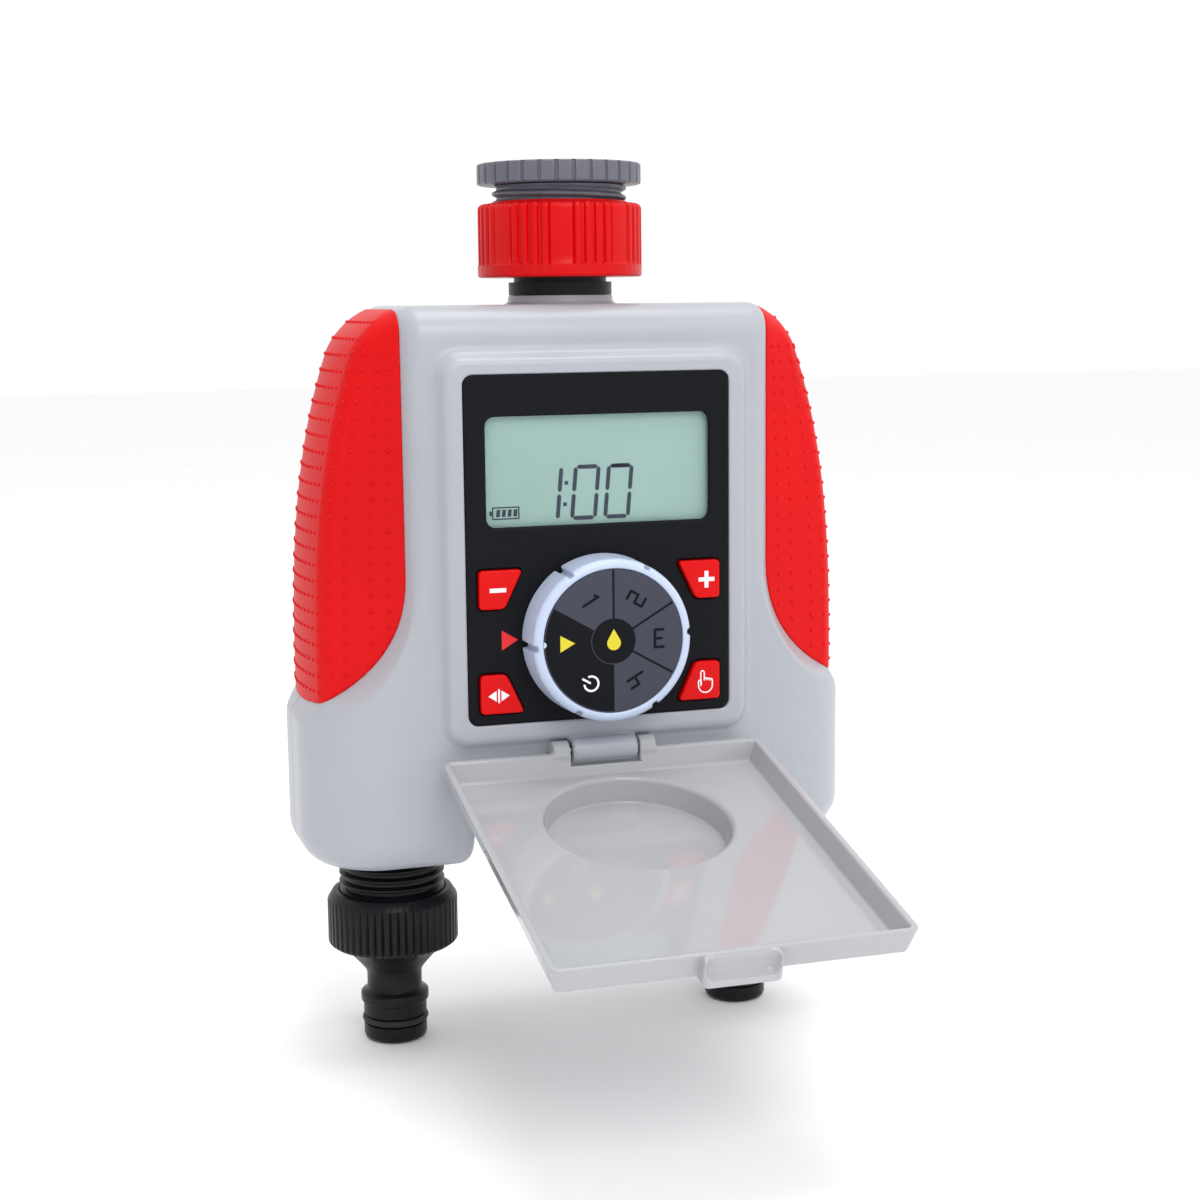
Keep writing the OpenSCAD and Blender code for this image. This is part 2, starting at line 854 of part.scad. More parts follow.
tap_adapter();
tap_washer();
filter_washer();
filter_mesh();
inlet_nut();
inlet_manifold();
front_shell();
rear_shell();
left_grip();
right_grip();
case_screws();
control_panel();
lcd_window();
lcd_module();
circuit_board();
board_screws();
dial_knob();
dial_label();
switch_shaft();
rotary_switch();
tact_switches();
minus_button();
plus_button();
zone_button();
manual_button();
front_lid();
hinge_pin();
battery_bay();
battery_tray();
batteries();
battery_contacts();
tray_gasket();
valve_body(-1);  // left_valve_body
diaphragm(-1);  // left_diaphragm
diaphragm_plate(-1);  // left_diaphragm_plate
bonnet(-1);  // left_bonnet
bonnet_screws(-1);  // left_bonnet_screws
plunger(-1);  // left_plunger
plunger_spring(-1);  // left_plunger_spring
coil(-1);  // left_coil
coil_frame(-1);  // left_coil_frame
connector(-1);  // left_connector
connector_washer(-1);  // left_connector_washer
nose_ring(-1);  // left_nose_ring
valve_body(1);  // right_valve_body
diaphragm(1);  // right_diaphragm
diaphragm_plate(1);  // right_diaphragm_plate
bonnet(1);  // right_bonnet
bonnet_screws(1);  // right_bonnet_screws
plunger(1);  // right_plunger
plunger_spring(1);  // right_plunger_spring
coil(1);  // right_coil
coil_frame(1);  // right_coil_frame
connector(1);  // right_connector
connector_washer(1);  // right_connector_washer
nose_ring(1);  // right_nose_ring
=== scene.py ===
import json
import math

import bpy
import numpy as np
from mathutils import Matrix, Vector


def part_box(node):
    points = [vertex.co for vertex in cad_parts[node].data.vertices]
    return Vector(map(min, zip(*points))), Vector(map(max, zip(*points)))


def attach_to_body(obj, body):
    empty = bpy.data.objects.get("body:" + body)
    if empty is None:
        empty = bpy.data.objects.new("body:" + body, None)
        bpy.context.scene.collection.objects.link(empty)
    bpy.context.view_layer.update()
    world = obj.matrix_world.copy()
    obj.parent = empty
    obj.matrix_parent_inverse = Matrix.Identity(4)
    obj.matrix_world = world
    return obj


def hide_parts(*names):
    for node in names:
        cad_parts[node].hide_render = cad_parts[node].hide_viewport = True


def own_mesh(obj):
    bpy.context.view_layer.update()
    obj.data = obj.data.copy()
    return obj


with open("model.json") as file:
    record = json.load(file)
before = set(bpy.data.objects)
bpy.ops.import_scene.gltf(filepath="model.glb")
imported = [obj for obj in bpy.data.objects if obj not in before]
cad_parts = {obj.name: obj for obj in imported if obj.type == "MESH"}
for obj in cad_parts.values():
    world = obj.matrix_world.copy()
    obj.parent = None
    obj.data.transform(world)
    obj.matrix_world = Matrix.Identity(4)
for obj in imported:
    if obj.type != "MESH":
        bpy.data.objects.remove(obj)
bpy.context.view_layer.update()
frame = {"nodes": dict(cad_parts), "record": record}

# Sizes are in millimetres in the CAD's frame, with z up and the front at -y. Meshes are made in metres.
MM = 0.001


def node_box(node):
    """(lowest, highest) corner of a CAD node, in millimetres."""
    low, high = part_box(node)
    return [v / MM for v in low], [v / MM for v in high]


# ---- Driving sizes ----

# Clearance between fitted pieces
GAP = 0.05

# Case: its depth in front of and behind the parting plane y = 0, then its outline in the front view
FRONT = 27.0
BACK = 26.0
WALL = 2.2
CORE_HALF = 45.6
CASE_TOP = -34.1
CASE_BOTTOM = -169.5
LOBE_HALF = 70.5
ARCH_HALF = 30.5
ARCH_Z = -150.0
INLET_BORE_R = 11.45
OUTLET_BORE_R = 12.05
BAY_MOUTH = (20.3, 12.3)
# Each screw boss on the right: x, z, length of its front post, end of its rear post
BOSSES = [(38, -44, 25, 25), (24, -142, 25, 25), (62, -152, 20, 18)]
SCREW_SEAT = 12.0
OUTLET_X = 46.4

# Grips: their thickness, the start and control points of their inner edge, and their rows of dots
GRIP_T = 2.2
EDGE_START = (CORE_HALF, -98)
EDGE_CURVE = [(0, 15), (8.4, 25), (23, 31.5)]
DOT_ROWS = (-37.3, -126, -3.8)
FRONT_DOT = (0.62, 0.42)
SIDE_DOT = (0.5, 0.36)

# Panel and display
PANEL_Y = -30.8
PANEL_T = 2.2
PANEL_HALF = 33.0
PANEL_TOP = -50.2
PANEL_BOTTOM = -133.2
BEZEL = (-36.9, -137.3, 36.9, -47)
LCD = (-27.8, -86.05, 27.8, -60.0)
DIGITS_Z = -78.6
DIGIT_LEAN = 0.09
BUTTON_FACE = PANEL_Y - 1.1

# Dial
DIAL_Z = -112.9
DIAL_R = 19.6
DIAL_FRONT = -41.05
LABEL_FACE = DIAL_FRONT + 0.2

# Lid, as it is when shut, and its hinge
HINGE_Y = -31.16
HINGE_Z = -140.71
KNUCKLE_R = 3.05
KNUCKLE_HALF = 8.2
LID_HALF = 40.36
LID_NEAR = HINGE_Z + 0.8
LID_FAR = LID_NEAR + 93.7
LID_RIM_Y = -30.95
LID_DEPTH = 6.8
LID_FACE = LID_RIM_Y - LID_DEPTH
LID_WALL = 1.8
LID_OPEN = 103.85
RECESS_R = 21.7
RECESS_Z = DIAL_Z + 0.8
RECESS_FLOOR = -42.4

# Threads: travel of one turn
PITCH = 2.309

# Prints: each outline's front lies this much further out than the one before it
PRINT_STEP = 0.001

# The floor's half-width, and its distance below the lowest piece
FLOOR_HALF = 4000
FLOOR_GAP = 0.3


# ---- Camera, stage and light ----

# Place and directions of the camera that was fitted to the photo
CAMERA_AT = Vector((-0.14407, -0.48631, -0.03360))
CAMERA_RIGHT = Vector((0.95302, -0.30271, -0.01049))
CAMERA_UP = Vector((0.05433, 0.13679, 0.98911))
LENS = 60.33
SENSOR = 36

# The studio is white, and darker towards the front and left
DARK_SIDE = (-0.8, -0.6, -0.1)
SKY_STOPS = [(0.2, (1.0, 1.0, 1.0, 1)), (0.75, (0.68, 0.68, 0.69, 1))]
SKY_STRENGTH = 1.03

# Both lights are squares of this width, in metres. Each has a place, an aim and a power.
LIGHT_SIZE = 0.5
LIGHTS = {
    "key": ((0.0, -0.92, 0.6), (0, 0, -0.11), 4.0),
    "top": ((0.1, 0, 0.85), (0, 0, -0.1), 3.4),
}


def make_camera():
    """The photo's camera."""
    data = bpy.data.cameras.new("camera")
    data.lens = LENS
    data.sensor_width = SENSOR
    camera = bpy.data.objects.new("camera", data)
    back = CAMERA_RIGHT.cross(CAMERA_UP)
    turn = Matrix((CAMERA_RIGHT, CAMERA_UP, back)).transposed().to_4x4()
    camera.matrix_world = Matrix.Translation(CAMERA_AT) @ turn
    bpy.context.scene.collection.objects.link(camera)
    bpy.context.scene.camera = camera


def add_light(name, at, aim, power):
    """A square area light that faces its aim."""
    data = bpy.data.lights.new(name, "AREA")
    data.shape = "RECTANGLE"
    data.size = LIGHT_SIZE
    data.size_y = LIGHT_SIZE
    data.energy = power
    light = bpy.data.objects.new(name, data)
    light.location = at
    light.rotation_euler = (Vector(aim) - Vector(at)).to_track_quat("-Z", "Y").to_euler()
    bpy.context.scene.collection.objects.link(light)


def make_world():
    """Even white light from all sides but the darker one."""
    world = bpy.data.worlds.new("studio")
    world.use_nodes = True
    nodes, links = world.node_tree.nodes, world.node_tree.links
    sky = nodes["Background"]
    ramp = nodes.new("ShaderNodeValToRGB")
    facing = nodes.new("ShaderNodeVectorMath")
    facing.operation = "DOT_PRODUCT"
    facing.inputs[1].default_value = DARK_SIDE
    where = nodes.new("ShaderNodeTexCoord")
    links.new(where.outputs["Generated"], facing.inputs[0])
    links.new(facing.outputs["Value"], ramp.inputs["Fac"])
    for stop, (place, colour) in zip(ramp.color_ramp.elements, SKY_STOPS):
        stop.position = place
        stop.color = colour
    links.new(ramp.outputs["Color"], sky.inputs["Color"])
    sky.inputs["Strength"].default_value = SKY_STRENGTH
    bpy.context.scene.world = world


# ---- Distance fields: negative inside, in millimetres ----

def common(a, b, r):
    """What lies in both shapes, with the edge between them rounded to radius r."""
    u, v = np.maximum(r + a, 0), np.maximum(r + b, 0)
    return np.minimum(-r, np.maximum(a, b)) + np.sqrt(u * u + v * v)


def joined(a, b, r):
    """Both shapes, with the corner between them filled to radius r."""
    return -common(-a, -b, r)


def cut(a, b, r):
    """The first shape without the second, its new edge rounded to radius r."""
    return common(a, -b, r)


def rect(u, v, u0, v0, u1, v1, r):
    """Rectangle with corners of radius r."""
    qu = np.abs(u - (u0 + u1) / 2) - (u1 - u0) / 2 + r
    qv = np.abs(v - (v0 + v1) / 2) - (v1 - v0) / 2 + r
    outside = np.sqrt(np.maximum(qu, 0) ** 2 + np.maximum(qv, 0) ** 2)
    return outside + np.minimum(np.maximum(qu, qv), 0) - r


def slab(v, v0, v1):
    """What lies between two planes."""
    return np.maximum(v0 - v, v - v1)


def disc(u, v, r):
    """Circle round the origin."""
    return np.sqrt(u * u + v * v) - r


def rod(u, v, r, w, w0, w1, edge):
    """Round rod along w."""
    return common(disc(u, v, r), slab(w, w0, w1), edge)


# ---- Meshes ----

def new_piece(name, points, faces, material, normals=None, turn=None):
    """A mesh object from points in millimetres, smooth shaded."""
    mesh = bpy.data.meshes.new(name)
    mesh.from_pydata((np.asarray(points) * MM).tolist(), [], [list(f) for f in faces])
    if turn is not None:
        mesh.transform(turn)
    mesh.polygons.foreach_set("use_smooth", [True] * len(mesh.polygons))
    mesh.materials.append(material)
    if normals is not None:
        facing = normals if turn is None else normals @ np.array(turn.to_3x3()).T
        mesh.normals_split_custom_set_from_vertices(facing.tolist())
    mesh.validate()
    piece = bpy.data.objects.new(name, mesh)
    bpy.context.scene.collection.objects.link(piece)
    return piece


def gradient(field, at, h=0.01):
    """Slope of a field at each point."""
    columns = []
    for axis in range(3):
        step = np.zeros(3)
        step[axis] = h
        columns.append((field(*(at + step).T) - field(*(at - step).T)) / (2 * h))
    return np.stack(columns, 1)


def field_surface(field, xs, ys, zs):
    """Points, quads and normals of the surface where field is 0.

    Each grid cell that the surface crosses holds one point, the middle of its crossings with the cell's
    edges. Three small moves along the slope then bring each point onto the surface."""
    grid = [np.asarray(places, float) for places in (xs, ys, zs)]
    value = field(grid[0][:, None, None], grid[1][None, :, None], grid[2][None, None, :])
    value = np.broadcast_to(value, [len(places) for places in grid])
    inside = value < 0
    cells = np.array(value.shape) - 1
    owners, crossings, quads = [], [], []
    for axis in range(3):
        steps = np.roll(np.eye(3, dtype=int), -axis, 0)
        low = tuple(slice(0, -1) if a == axis else slice(1, -1) for a in range(3))
        high = tuple(slice(1, None) if a == axis else slice(1, -1) for a in range(3))
        at = np.argwhere(inside[low] != inside[high]) + 1 - steps[0]
        start, end = value[tuple(at.T)], value[tuple((at + steps[0]).T)]
        point = np.stack([grid[a][at[:, a]] for a in range(3)], 1)
        length = grid[axis][at[:, axis] + 1] - grid[axis][at[:, axis]]
        point[:, axis] += length * start / (start - end)
        around = [at - steps[1] - steps[2], at - steps[2], at, at - steps[1]]
        ids = np.stack([(c[:, 0] * cells[1] + c[:, 1]) * cells[2] + c[:, 2] for c in around], 1)
        owners.append(ids.ravel())
        crossings.append(np.repeat(point, 4, 0))
        quads.append(np.where((start < 0)[:, None], ids, ids[:, ::-1]))
    used, owner = np.unique(np.concatenate(owners), return_inverse=True)
    crossings = np.concatenate(crossings)
    count = np.bincount(owner)
    points = np.stack([np.bincount(owner, crossings[:, a]) / count for a in range(3)], 1)
    for _ in range(3):
        slope = gradient(field, points)
        size = np.maximum((slope * slope).sum(1), 0.2)
        move = slope * (field(*points.T) / size)[:, None]
        points -= np.clip(move, -0.3, 0.3)
    normals = gradient(field, points)
    normals /= np.maximum(np.linalg.norm(normals, axis=1), 1e-9)[:, None]
    return points, np.searchsorted(used, np.concatenate(quads)), normals


def field_piece(name, field, xs, ys, zs, material, turn=None):
    """A mesh object of the surface of a field, over the grid places xs, ys and zs."""
    points, quads, normals = field_surface(field, xs, ys, zs)
    return new_piece(name, points, quads, material, normals, turn)


def line(*stops):
    """Grid places from stop to stop, as (place, step, place, step, ..., place)."""
    places = [stops[0]]
    for k in range(0, len(stops) - 2, 2):
        start, step, end = stops[k:k + 3]
        count = max(1, round((end - start) / step))
        places += [start + (end - start) * (i + 1) / count for i in range(count)]
    return places


def mirrored(*stops):
    """The same grid places on both sides of 0."""
    right = line(*stops)
    return [-p for p in reversed(right) if p > 0] + right


def attach(piece, body, slot, *nodes):
    """Rides piece on a body and lets it stand for CAD nodes. Its slot is not used."""
    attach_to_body(piece, body)
    if nodes:
        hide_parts(*nodes)
    return piece


def join_pieces(name, pieces):
    """One object from several meshes."""
    for other in bpy.context.selected_objects:
        other.select_set(False)
    for piece in pieces:
        piece.select_set(True)
    bpy.context.view_layer.objects.active = pieces[0]
    bpy.ops.object.join()
    pieces[0].name = name
    pieces[0].data.name = name
    return pieces[0]


# ---- Materials ----

def linear(r, g, b):
    """Colour from 0-255 screen values."""
    return tuple((c / 255) ** 2.2 for c in (r, g, b))


def tint(colour, k):
    """A lighter or darker shade, as red, green, blue and alpha."""
    return tuple(min(1, c * k) for c in colour) + (1,)


def moulded(name, colour, rough, spread=0.06, grain=0.1, grain_size=900, metal=0, ior=1.47):
    """Moulded plastic, rubber or metal: faint flow marks in the colour, uneven gloss and a fine grain.

    A low ior keeps the white studio from washing out a dark or strong colour."""
    material = bpy.data.materials.new(name)
    material.use_nodes = True
    nodes, links = material.node_tree.nodes, material.node_tree.links
    shader = nodes["Principled BSDF"]
    shader.inputs["Metallic"].default_value = metal
    shader.inputs["IOR"].default_value = ior
    where = nodes.new("ShaderNodeTexCoord")

    flow = nodes.new("ShaderNodeTexNoise")
    flow.inputs["Scale"].default_value = 26
    flow.inputs["Detail"].default_value = 5
    links.new(where.outputs["Object"], flow.inputs["Vector"])
    shades = nodes.new("ShaderNodeValToRGB")
    shades.color_ramp.elements[0].position = 0.3
    shades.color_ramp.elements[0].color = tint(colour, 1 - spread)
    shades.color_ramp.elements[1].position = 0.7
    shades.color_ramp.elements[1].color = tint(colour, 1 + spread)
    links.new(flow.outputs["Fac"], shades.inputs["Fac"])
    links.new(shades.outputs["Color"], shader.inputs["Base Color"])

    gloss = nodes.new("ShaderNodeMapRange")
    gloss.inputs["To Min"].default_value = rough - 0.05
    gloss.inputs["To Max"].default_value = rough + 0.07
    links.new(flow.outputs["Fac"], gloss.inputs["Value"])
    links.new(gloss.outputs["Result"], shader.inputs["Roughness"])

    fine = nodes.new("ShaderNodeTexNoise")
    fine.inputs["Scale"].default_value = grain_size
    fine.inputs["Detail"].default_value = 3
    links.new(where.outputs["Object"], fine.inputs["Vector"])
    bump = nodes.new("ShaderNodeBump")
    bump.inputs["Strength"].default_value = grain
    bump.inputs["Distance"].default_value = 0.0002
    links.new(fine.outputs["Fac"], bump.inputs["Height"])
    links.new(bump.outputs["Normal"], shader.inputs["Normal"])
    return material


def clear_window():
    """Clear plastic: its low alpha lets the lights reach the display."""
    material = moulded("window", linear(225, 235, 232), 0.08, grain=0.01)
    shader = material.node_tree.nodes["Principled BSDF"]
    shader.inputs["Transmission Weight"].default_value = 1.0
    shader.inputs["IOR"].default_value = 1.2
    shader.inputs["Alpha"].default_value = 0.3
    return material


CASE_GREY = moulded("case_plastic", linear(167, 170, 177), 0.31, 0.025, 0.08, 1400)
LID_GREY = moulded("lid_plastic", linear(172, 173, 177), 0.07, 0.02, 0.0, 500)
GRIP_RED = moulded("grip_rubber", linear(208, 14, 19), 0.45, 0.05, 0.15, 1600, ior=1.25)
NUT_RED = moulded("nut_plastic", linear(204, 12, 17), 0.3, 0.05, 0.05, 900, ior=1.27)
BUTTON_RED = moulded("button_plastic", linear(214, 14, 17), 0.35, 0.04, 0.05, 1500, ior=1.25)
BLACK = moulded("black_plastic", linear(24, 25, 28), 0.36, 0.12, 0.12, 1300, ior=1.3)
ADAPTER = moulded("adapter_plastic", linear(98, 99, 108), 0.36, 0.08, 0.12, 1100, ior=1.38)
PANEL = moulded("panel_film", linear(24, 25, 29), 0.4, 0.12, 0.06, 2600, ior=1.2)
WINDOW = clear_window()
DISPLAY = moulded("display_film", linear(158, 186, 180), 0.45, 0.03, 0.02, 800)
BOARD = moulded("board_lacquer", linear(26, 92, 50), 0.3, 0.15, 0.2, 700)
DIAL_PALE = moulded("dial_plastic", linear(190, 203, 228), 0.3, 0.03, 0.03, 900)
LABEL_GREY = moulded("label_mid", linear(66, 68, 80), 0.45, 0.04, 0.05, 2600, ior=1.3)
LABEL_DARK = moulded("label_dark", linear(24, 25, 30), 0.45, 0.05, 0.05, 2600, ior=1.2)
SWITCH = moulded("switch_plastic", linear(48, 74, 128), 0.4, 0.08, 0.15, 900)
BAY = moulded("bay_plastic", linear(74, 75, 80), 0.5, 0.08, 0.25, 900)
CELL = moulded("cell_wrap", linear(36, 52, 80), 0.25, 0.1, 0.02, 300)
WHITE = moulded("white_plastic", linear(222, 222, 214), 0.4, 0.03, 0.08, 900)
RUBBER = moulded("rubber", linear(30, 30, 31), 0.6, 0.15, 0.3, 1500)
COPPER = moulded("copper", linear(200, 112, 60), 0.3, 0.12, 0.3, 2200, metal=1)
STEEL = moulded("steel", linear(196, 196, 200), 0.28, 0.06, 0.2, 1800, metal=1)
PRINT_WHITE = moulded("print_white", linear(240, 242, 246), 0.4, 0.02, 0.02, 2000)
PRINT_YELLOW = moulded("print_yellow", linear(222, 205, 40), 0.4, 0.03, 0.02, 2000)
PRINT_RED = moulded("print_red", linear(225, 32, 36), 0.4, 0.03, 0.02, 2000)
PRINT_DARK = moulded("print_dark", linear(52, 58, 74), 0.4, 0.05, 0.02, 2000)
FLOOR = moulded("floor_paper", linear(253, 253, 254), 0.7, 0.01, 0.05, 300)


# ---- Case ----

def side_width(z):
    """Half-width of the case at the grips' outer surface, and how fast it grows downwards."""
    t = np.clip(1 - (CASE_TOP - z) / 95, 0, 1.05)
    return 68.4 - 14.4 * t ** 2.9, 0.44 * t ** 1.9


def flank(x, y, z):
    """The case at the grips' outer surface, fitted to the outline in the photo."""
    ax = np.abs(x)
    past_core = np.maximum(ax - CORE_HALF, 0)
    width, growth = side_width(z)
    side = (ax - width + 2.5 * (y / 18) ** 2) / np.sqrt(1 + growth * growth)
    slope = np.clip(5.3 / np.maximum(width - 48.1, 4), 0, 1)
    scale = np.sqrt(1 + slope * slope)
    front = (-23.3 + past_core * slope - y) / scale
    back = (y - 22.3 + past_core * slope) / scale
    top = (z + 34.6 + 0.38 * past_core) / 1.07
    planes = common(np.maximum(front, back), side, 2.2)
    return common(planes, top, 6)


def grip_edge():
    """Front view of a grip's edge: straight down its inner side, then a curve out to the lobe's side."""
    u0, v0 = EDGE_START
    points = [(u0, 20.0)]
    for t in np.linspace(0, 1, 15):
        weights = (3 * (1 - t) ** 2 * t, 3 * (1 - t) * t * t, t ** 3)
        u = sum(w * p[0] for w, p in zip(weights, EDGE_CURVE))
        v = sum(w * p[1] for w, p in zip(weights, EDGE_CURVE))
        points.append((u0 + u, v0 - v))
    return points + [(95.0, -129.5)]


GRIP_EDGE = grip_edge()


def seam(x, z):
    """Distance to a grip's edge in the front view: positive where the grip is."""
    ax = np.abs(x)
    nearest = np.inf
    for (u0, v0), (u1, v1) in zip(GRIP_EDGE, GRIP_EDGE[1:]):
        du, dv = u1 - u0, v1 - v0
        t = np.clip(((ax - u0) * du + (z - v0) * dv) / (du * du + dv * dv), 0, 1)
        nearest = np.minimum(nearest, (ax - u0 - t * du) ** 2 + (z - v0 - t * dv) ** 2)
    us = np.array([p[0] for p in GRIP_EDGE])
    vs = np.array([p[1] for p in GRIP_EDGE])
    edge_z = np.interp(ax, us[1:], vs[1:])
    inside = (ax > CORE_HALF) & (z > edge_z)
    return np.where(inside, 1, -1) * np.sqrt(nearest)


def block(x, y, z):
    """The grey body's envelope: core and lobes."""
    ax = np.abs(x)
    plan = rect(x, y, -LOBE_HALF, -FRONT, LOBE_HALF, BACK, 20)
    body = common(plan, CASE_BOTTOM - z, 8.5)
    arch = common(ax - ARCH_HALF, z - ARCH_Z, 6)
    body = common(body, -arch, 3.5)
    return common(body, z - CASE_TOP, 8)


def lipped(x, y, z, grip):
    """The envelope, sloped down to the grips' surface along their edges."""
    rise = np.interp(np.abs(x), [60, 69], [1.7, 0.8])
    lip = (grip - 0.1 + rise * seam(x, z)) / np.sqrt(1 + rise * rise)
    softness = np.interp(z, [-112, -96], [0.8, 2.4])
    return common(block(x, y, z), lip, softness)


def bezel(x, y, z):
    """The raised frame round the panel, its sides sloping outwards."""
    spread = 0.62 * (y - PANEL_Y)
    sides = (rect(x, z, *BEZEL, 4.5) - spread) / 1.17
    return common(common(sides, PANEL_Y - y, 0.9), y + 24, 0.5)


def case_field(x, y, z):
    """Both shells before they are parted: the outside, the hollow, then the bores and the battery mouth."""
    grip = flank(x, y, z)
    grey = lipped(x, y, z, grip)
    under_grip = np.maximum(grip + GRIP_T + GAP, -1.5 - seam(x, z))
    outer = joined(np.minimum(grey, under_grip), bezel(x, y, z), 1.3)
    hollow = np.minimum(grey + WALL, grip + GRIP_T + GAP + WALL)
    hollow = np.maximum(hollow, block(x, y, z) + WALL)
    shell = cut(outer, hollow, 0.3)
    shell = cut(shell, np.maximum(disc(x, y, INLET_BORE_R), slab(z, -45, -25)), 0.3)
    ax = np.abs(x)
    shell = cut(shell, np.maximum(disc(ax - OUTLET_X, y, OUTLET_BORE_R), slab(z, -172, -160)), 0.4)
    u, v = BAY_MOUTH
    battery = np.maximum(rect(x, y, -u, -v, u, v, 0.6), slab(z, -152.6, -140.6))
    return cut(shell, battery, 0.4)


def front_field(x, y, z):
    """Front shell: its screw posts, the hinge's knuckle, and the pocket for the panel."""
    shell = common(case_field(x, y, z), y + GAP / 2, 0.35)
    ax = np.abs(x)
    for bx, bz, start, _ in BOSSES:
        post = np.maximum(disc(ax - bx, z - bz, 3.6), slab(y, -start, -GAP / 2))
        post = np.maximum(post, -np.maximum(disc(ax - bx, z - bz, 1.5), -14 - y))
        shell = np.minimum(shell, post)
    knuckle = rod(y - HINGE_Y, z - HINGE_Z, KNUCKLE_R, x, -KNUCKLE_HALF, KNUCKLE_HALF, 0.4)
    shell = joined(shell, knuckle, 0.5)
    arm = rect(y, z, HINGE_Y, HINGE_Z - 2, -26.2, HINGE_Z + 1.5, 0.2)
    shell = joined(shell, np.maximum(slab(x, -KNUCKLE_HALF, KNUCKLE_HALF), arm), 0.4)
    edge = PANEL_HALF + GAP
    pocket = rect(x, z, -edge, PANEL_BOTTOM - GAP, edge, PANEL_TOP + GAP, 2.5)
    shell = cut(shell, np.maximum(pocket, slab(y, -35, PANEL_Y + PANEL_T + GAP)), 0.35)
    behind = rect(x, z, -31.6, PANEL_BOTTOM + 1.4, 31.6, PANEL_TOP - 1.4, 2)
    shell = np.maximum(shell, -np.maximum(behind, slab(y, -35, -23)))
    return np.maximum(shell, -disc(y - HINGE_Y, z - HINGE_Z, 1.15))


def rear_field(x, y, z):
    """Rear shell: its screw posts and the screws' seats."""
    shell = common(case_field(x, y, z), GAP / 2 - y, 0.35)
    ax = np.abs(x)
    for bx, bz, _, end in BOSSES:
        away = disc(ax - bx, z - bz, 0)
        shell = np.minimum(shell, np.maximum(away - 4.2, slab(y, GAP / 2, end)))
        shell = cut(shell, np.maximum(away - 3.3, SCREW_SEAT - y), 0.3)
        shell = np.maximum(shell, 1.7 - away)
    return shell


def grip_field(x, y, z):
    """Both grips: a skin of even thickness inside the seam."""
    skin = flank(x, y, z)
    body = common(skin, -(skin + GRIP_T), 0.3)
    return common(body, GAP + 0.1 - seam(x, z), 0.7)


def make_case():
    """Both case shells, on one grid that is finest at their edges."""
    xs = mirrored(0, 1.6, 28, 0.6, 40, 0.9, 71.3)
    zs = line(-170.2, 0.65, -164, 1.1, -153, 0.7, -146, 1.0, -136, 0.8, -128, 1.0, -98, 1.3, -54,
              0.8, -43, 0.55, -31.2)
    front = field_piece("case_front", front_field, xs,
                        line(-34.8, 0.55, -18, 1.3, -2, 0.35, 0.6), zs, CASE_GREY)
    attach(front, "case", "case_grey", "front_shell")
    rear = field_piece("case_rear", rear_field, xs,
                       line(-0.6, 0.35, 2, 1.3, 16, 0.7, 26.6), zs, CASE_GREY)
    attach(rear, "case", "case_grey", "rear_shell")


def make_neck():
    """Flared collar of the case round the inlet."""
    profile = [(11.5, -36.2), (11.5, -31.95), (12.5, -31.9), (12.85, -32.0), (12.95, -32.3), (13.0, -32.9)]
    profile += [(15.0 - 2 * math.cos(math.radians(a)), -33.0 - 1.2 * math.sin(math.radians(a)))
                for a in range(15, 91, 15)]
    profile += [(15.0, -36.2)]
    attach(turned("case_neck", profile, CASE_GREY, 128), "case", "case_grey")


def dome(centre, normal, radius, height, sides=10):
    """Points and faces of one raised dot, its rim sunk a little."""
    n = normal / np.linalg.norm(normal)
    u = np.cross(n, (0, 0, 1.0))
    u /= np.linalg.norm(u)
    w = np.cross(n, u)
    points, faces = [], []
    rings = [(1.0, -0.15), (0.9, 0.25), (0.6, 0.75)]
    for share, lift in rings:
        for k in range(sides):
            a = 2 * math.pi * k / sides
            points.append(centre + share * radius * (math.cos(a) * u + math.sin(a) * w) + lift * height * n)
    points.append(centre + height * n)
    for ring in range(len(rings) - 1):
        for k in range(sides):
            a, b = ring * sides + k, ring * sides + (k + 1) % sides
            faces.append((a, b, b + sides, a + sides))
    top = (len(rings) - 1) * sides
    for k in range(sides):
        faces.append((top + k, top + (k + 1) % sides, len(points) - 1))
    return points, faces


def onto_grip(starts, direction):
    """Moves points along a direction until they are on the grips' surface."""
    at = np.array(starts, float)
    way = np.array(direction, float)
    for _ in range(40):
        at += way * flank(*at.T)[:, None] * 0.8
    return at


def grip_dots():
    """Places of the raised dots on the right grip: columns on its front band and rows round its side."""
    rows = np.arange(*DOT_ROWS)
    starts = []
    for z in rows[2:]:
        width = side_width(np.array([z]))[0][0]
        for inset in (4.4, 8.5, 14.5, 18.4):
            x = CORE_HALF + inset * (width - CORE_HALF) / 22.8
            if seam(np.array([x]), np.array([z]))[0] > 2.2:
                starts.append((x, -32.0, z))
    front = onto_grip(starts, (0, 1, 0))
    starts = []
    for z in rows:
        for y in np.linspace(-16.2, 15.2, 13):
            starts.append((76.0, y, z - 0.6))
    side = onto_grip(starts, (-1, 0, 0))
    return front, side


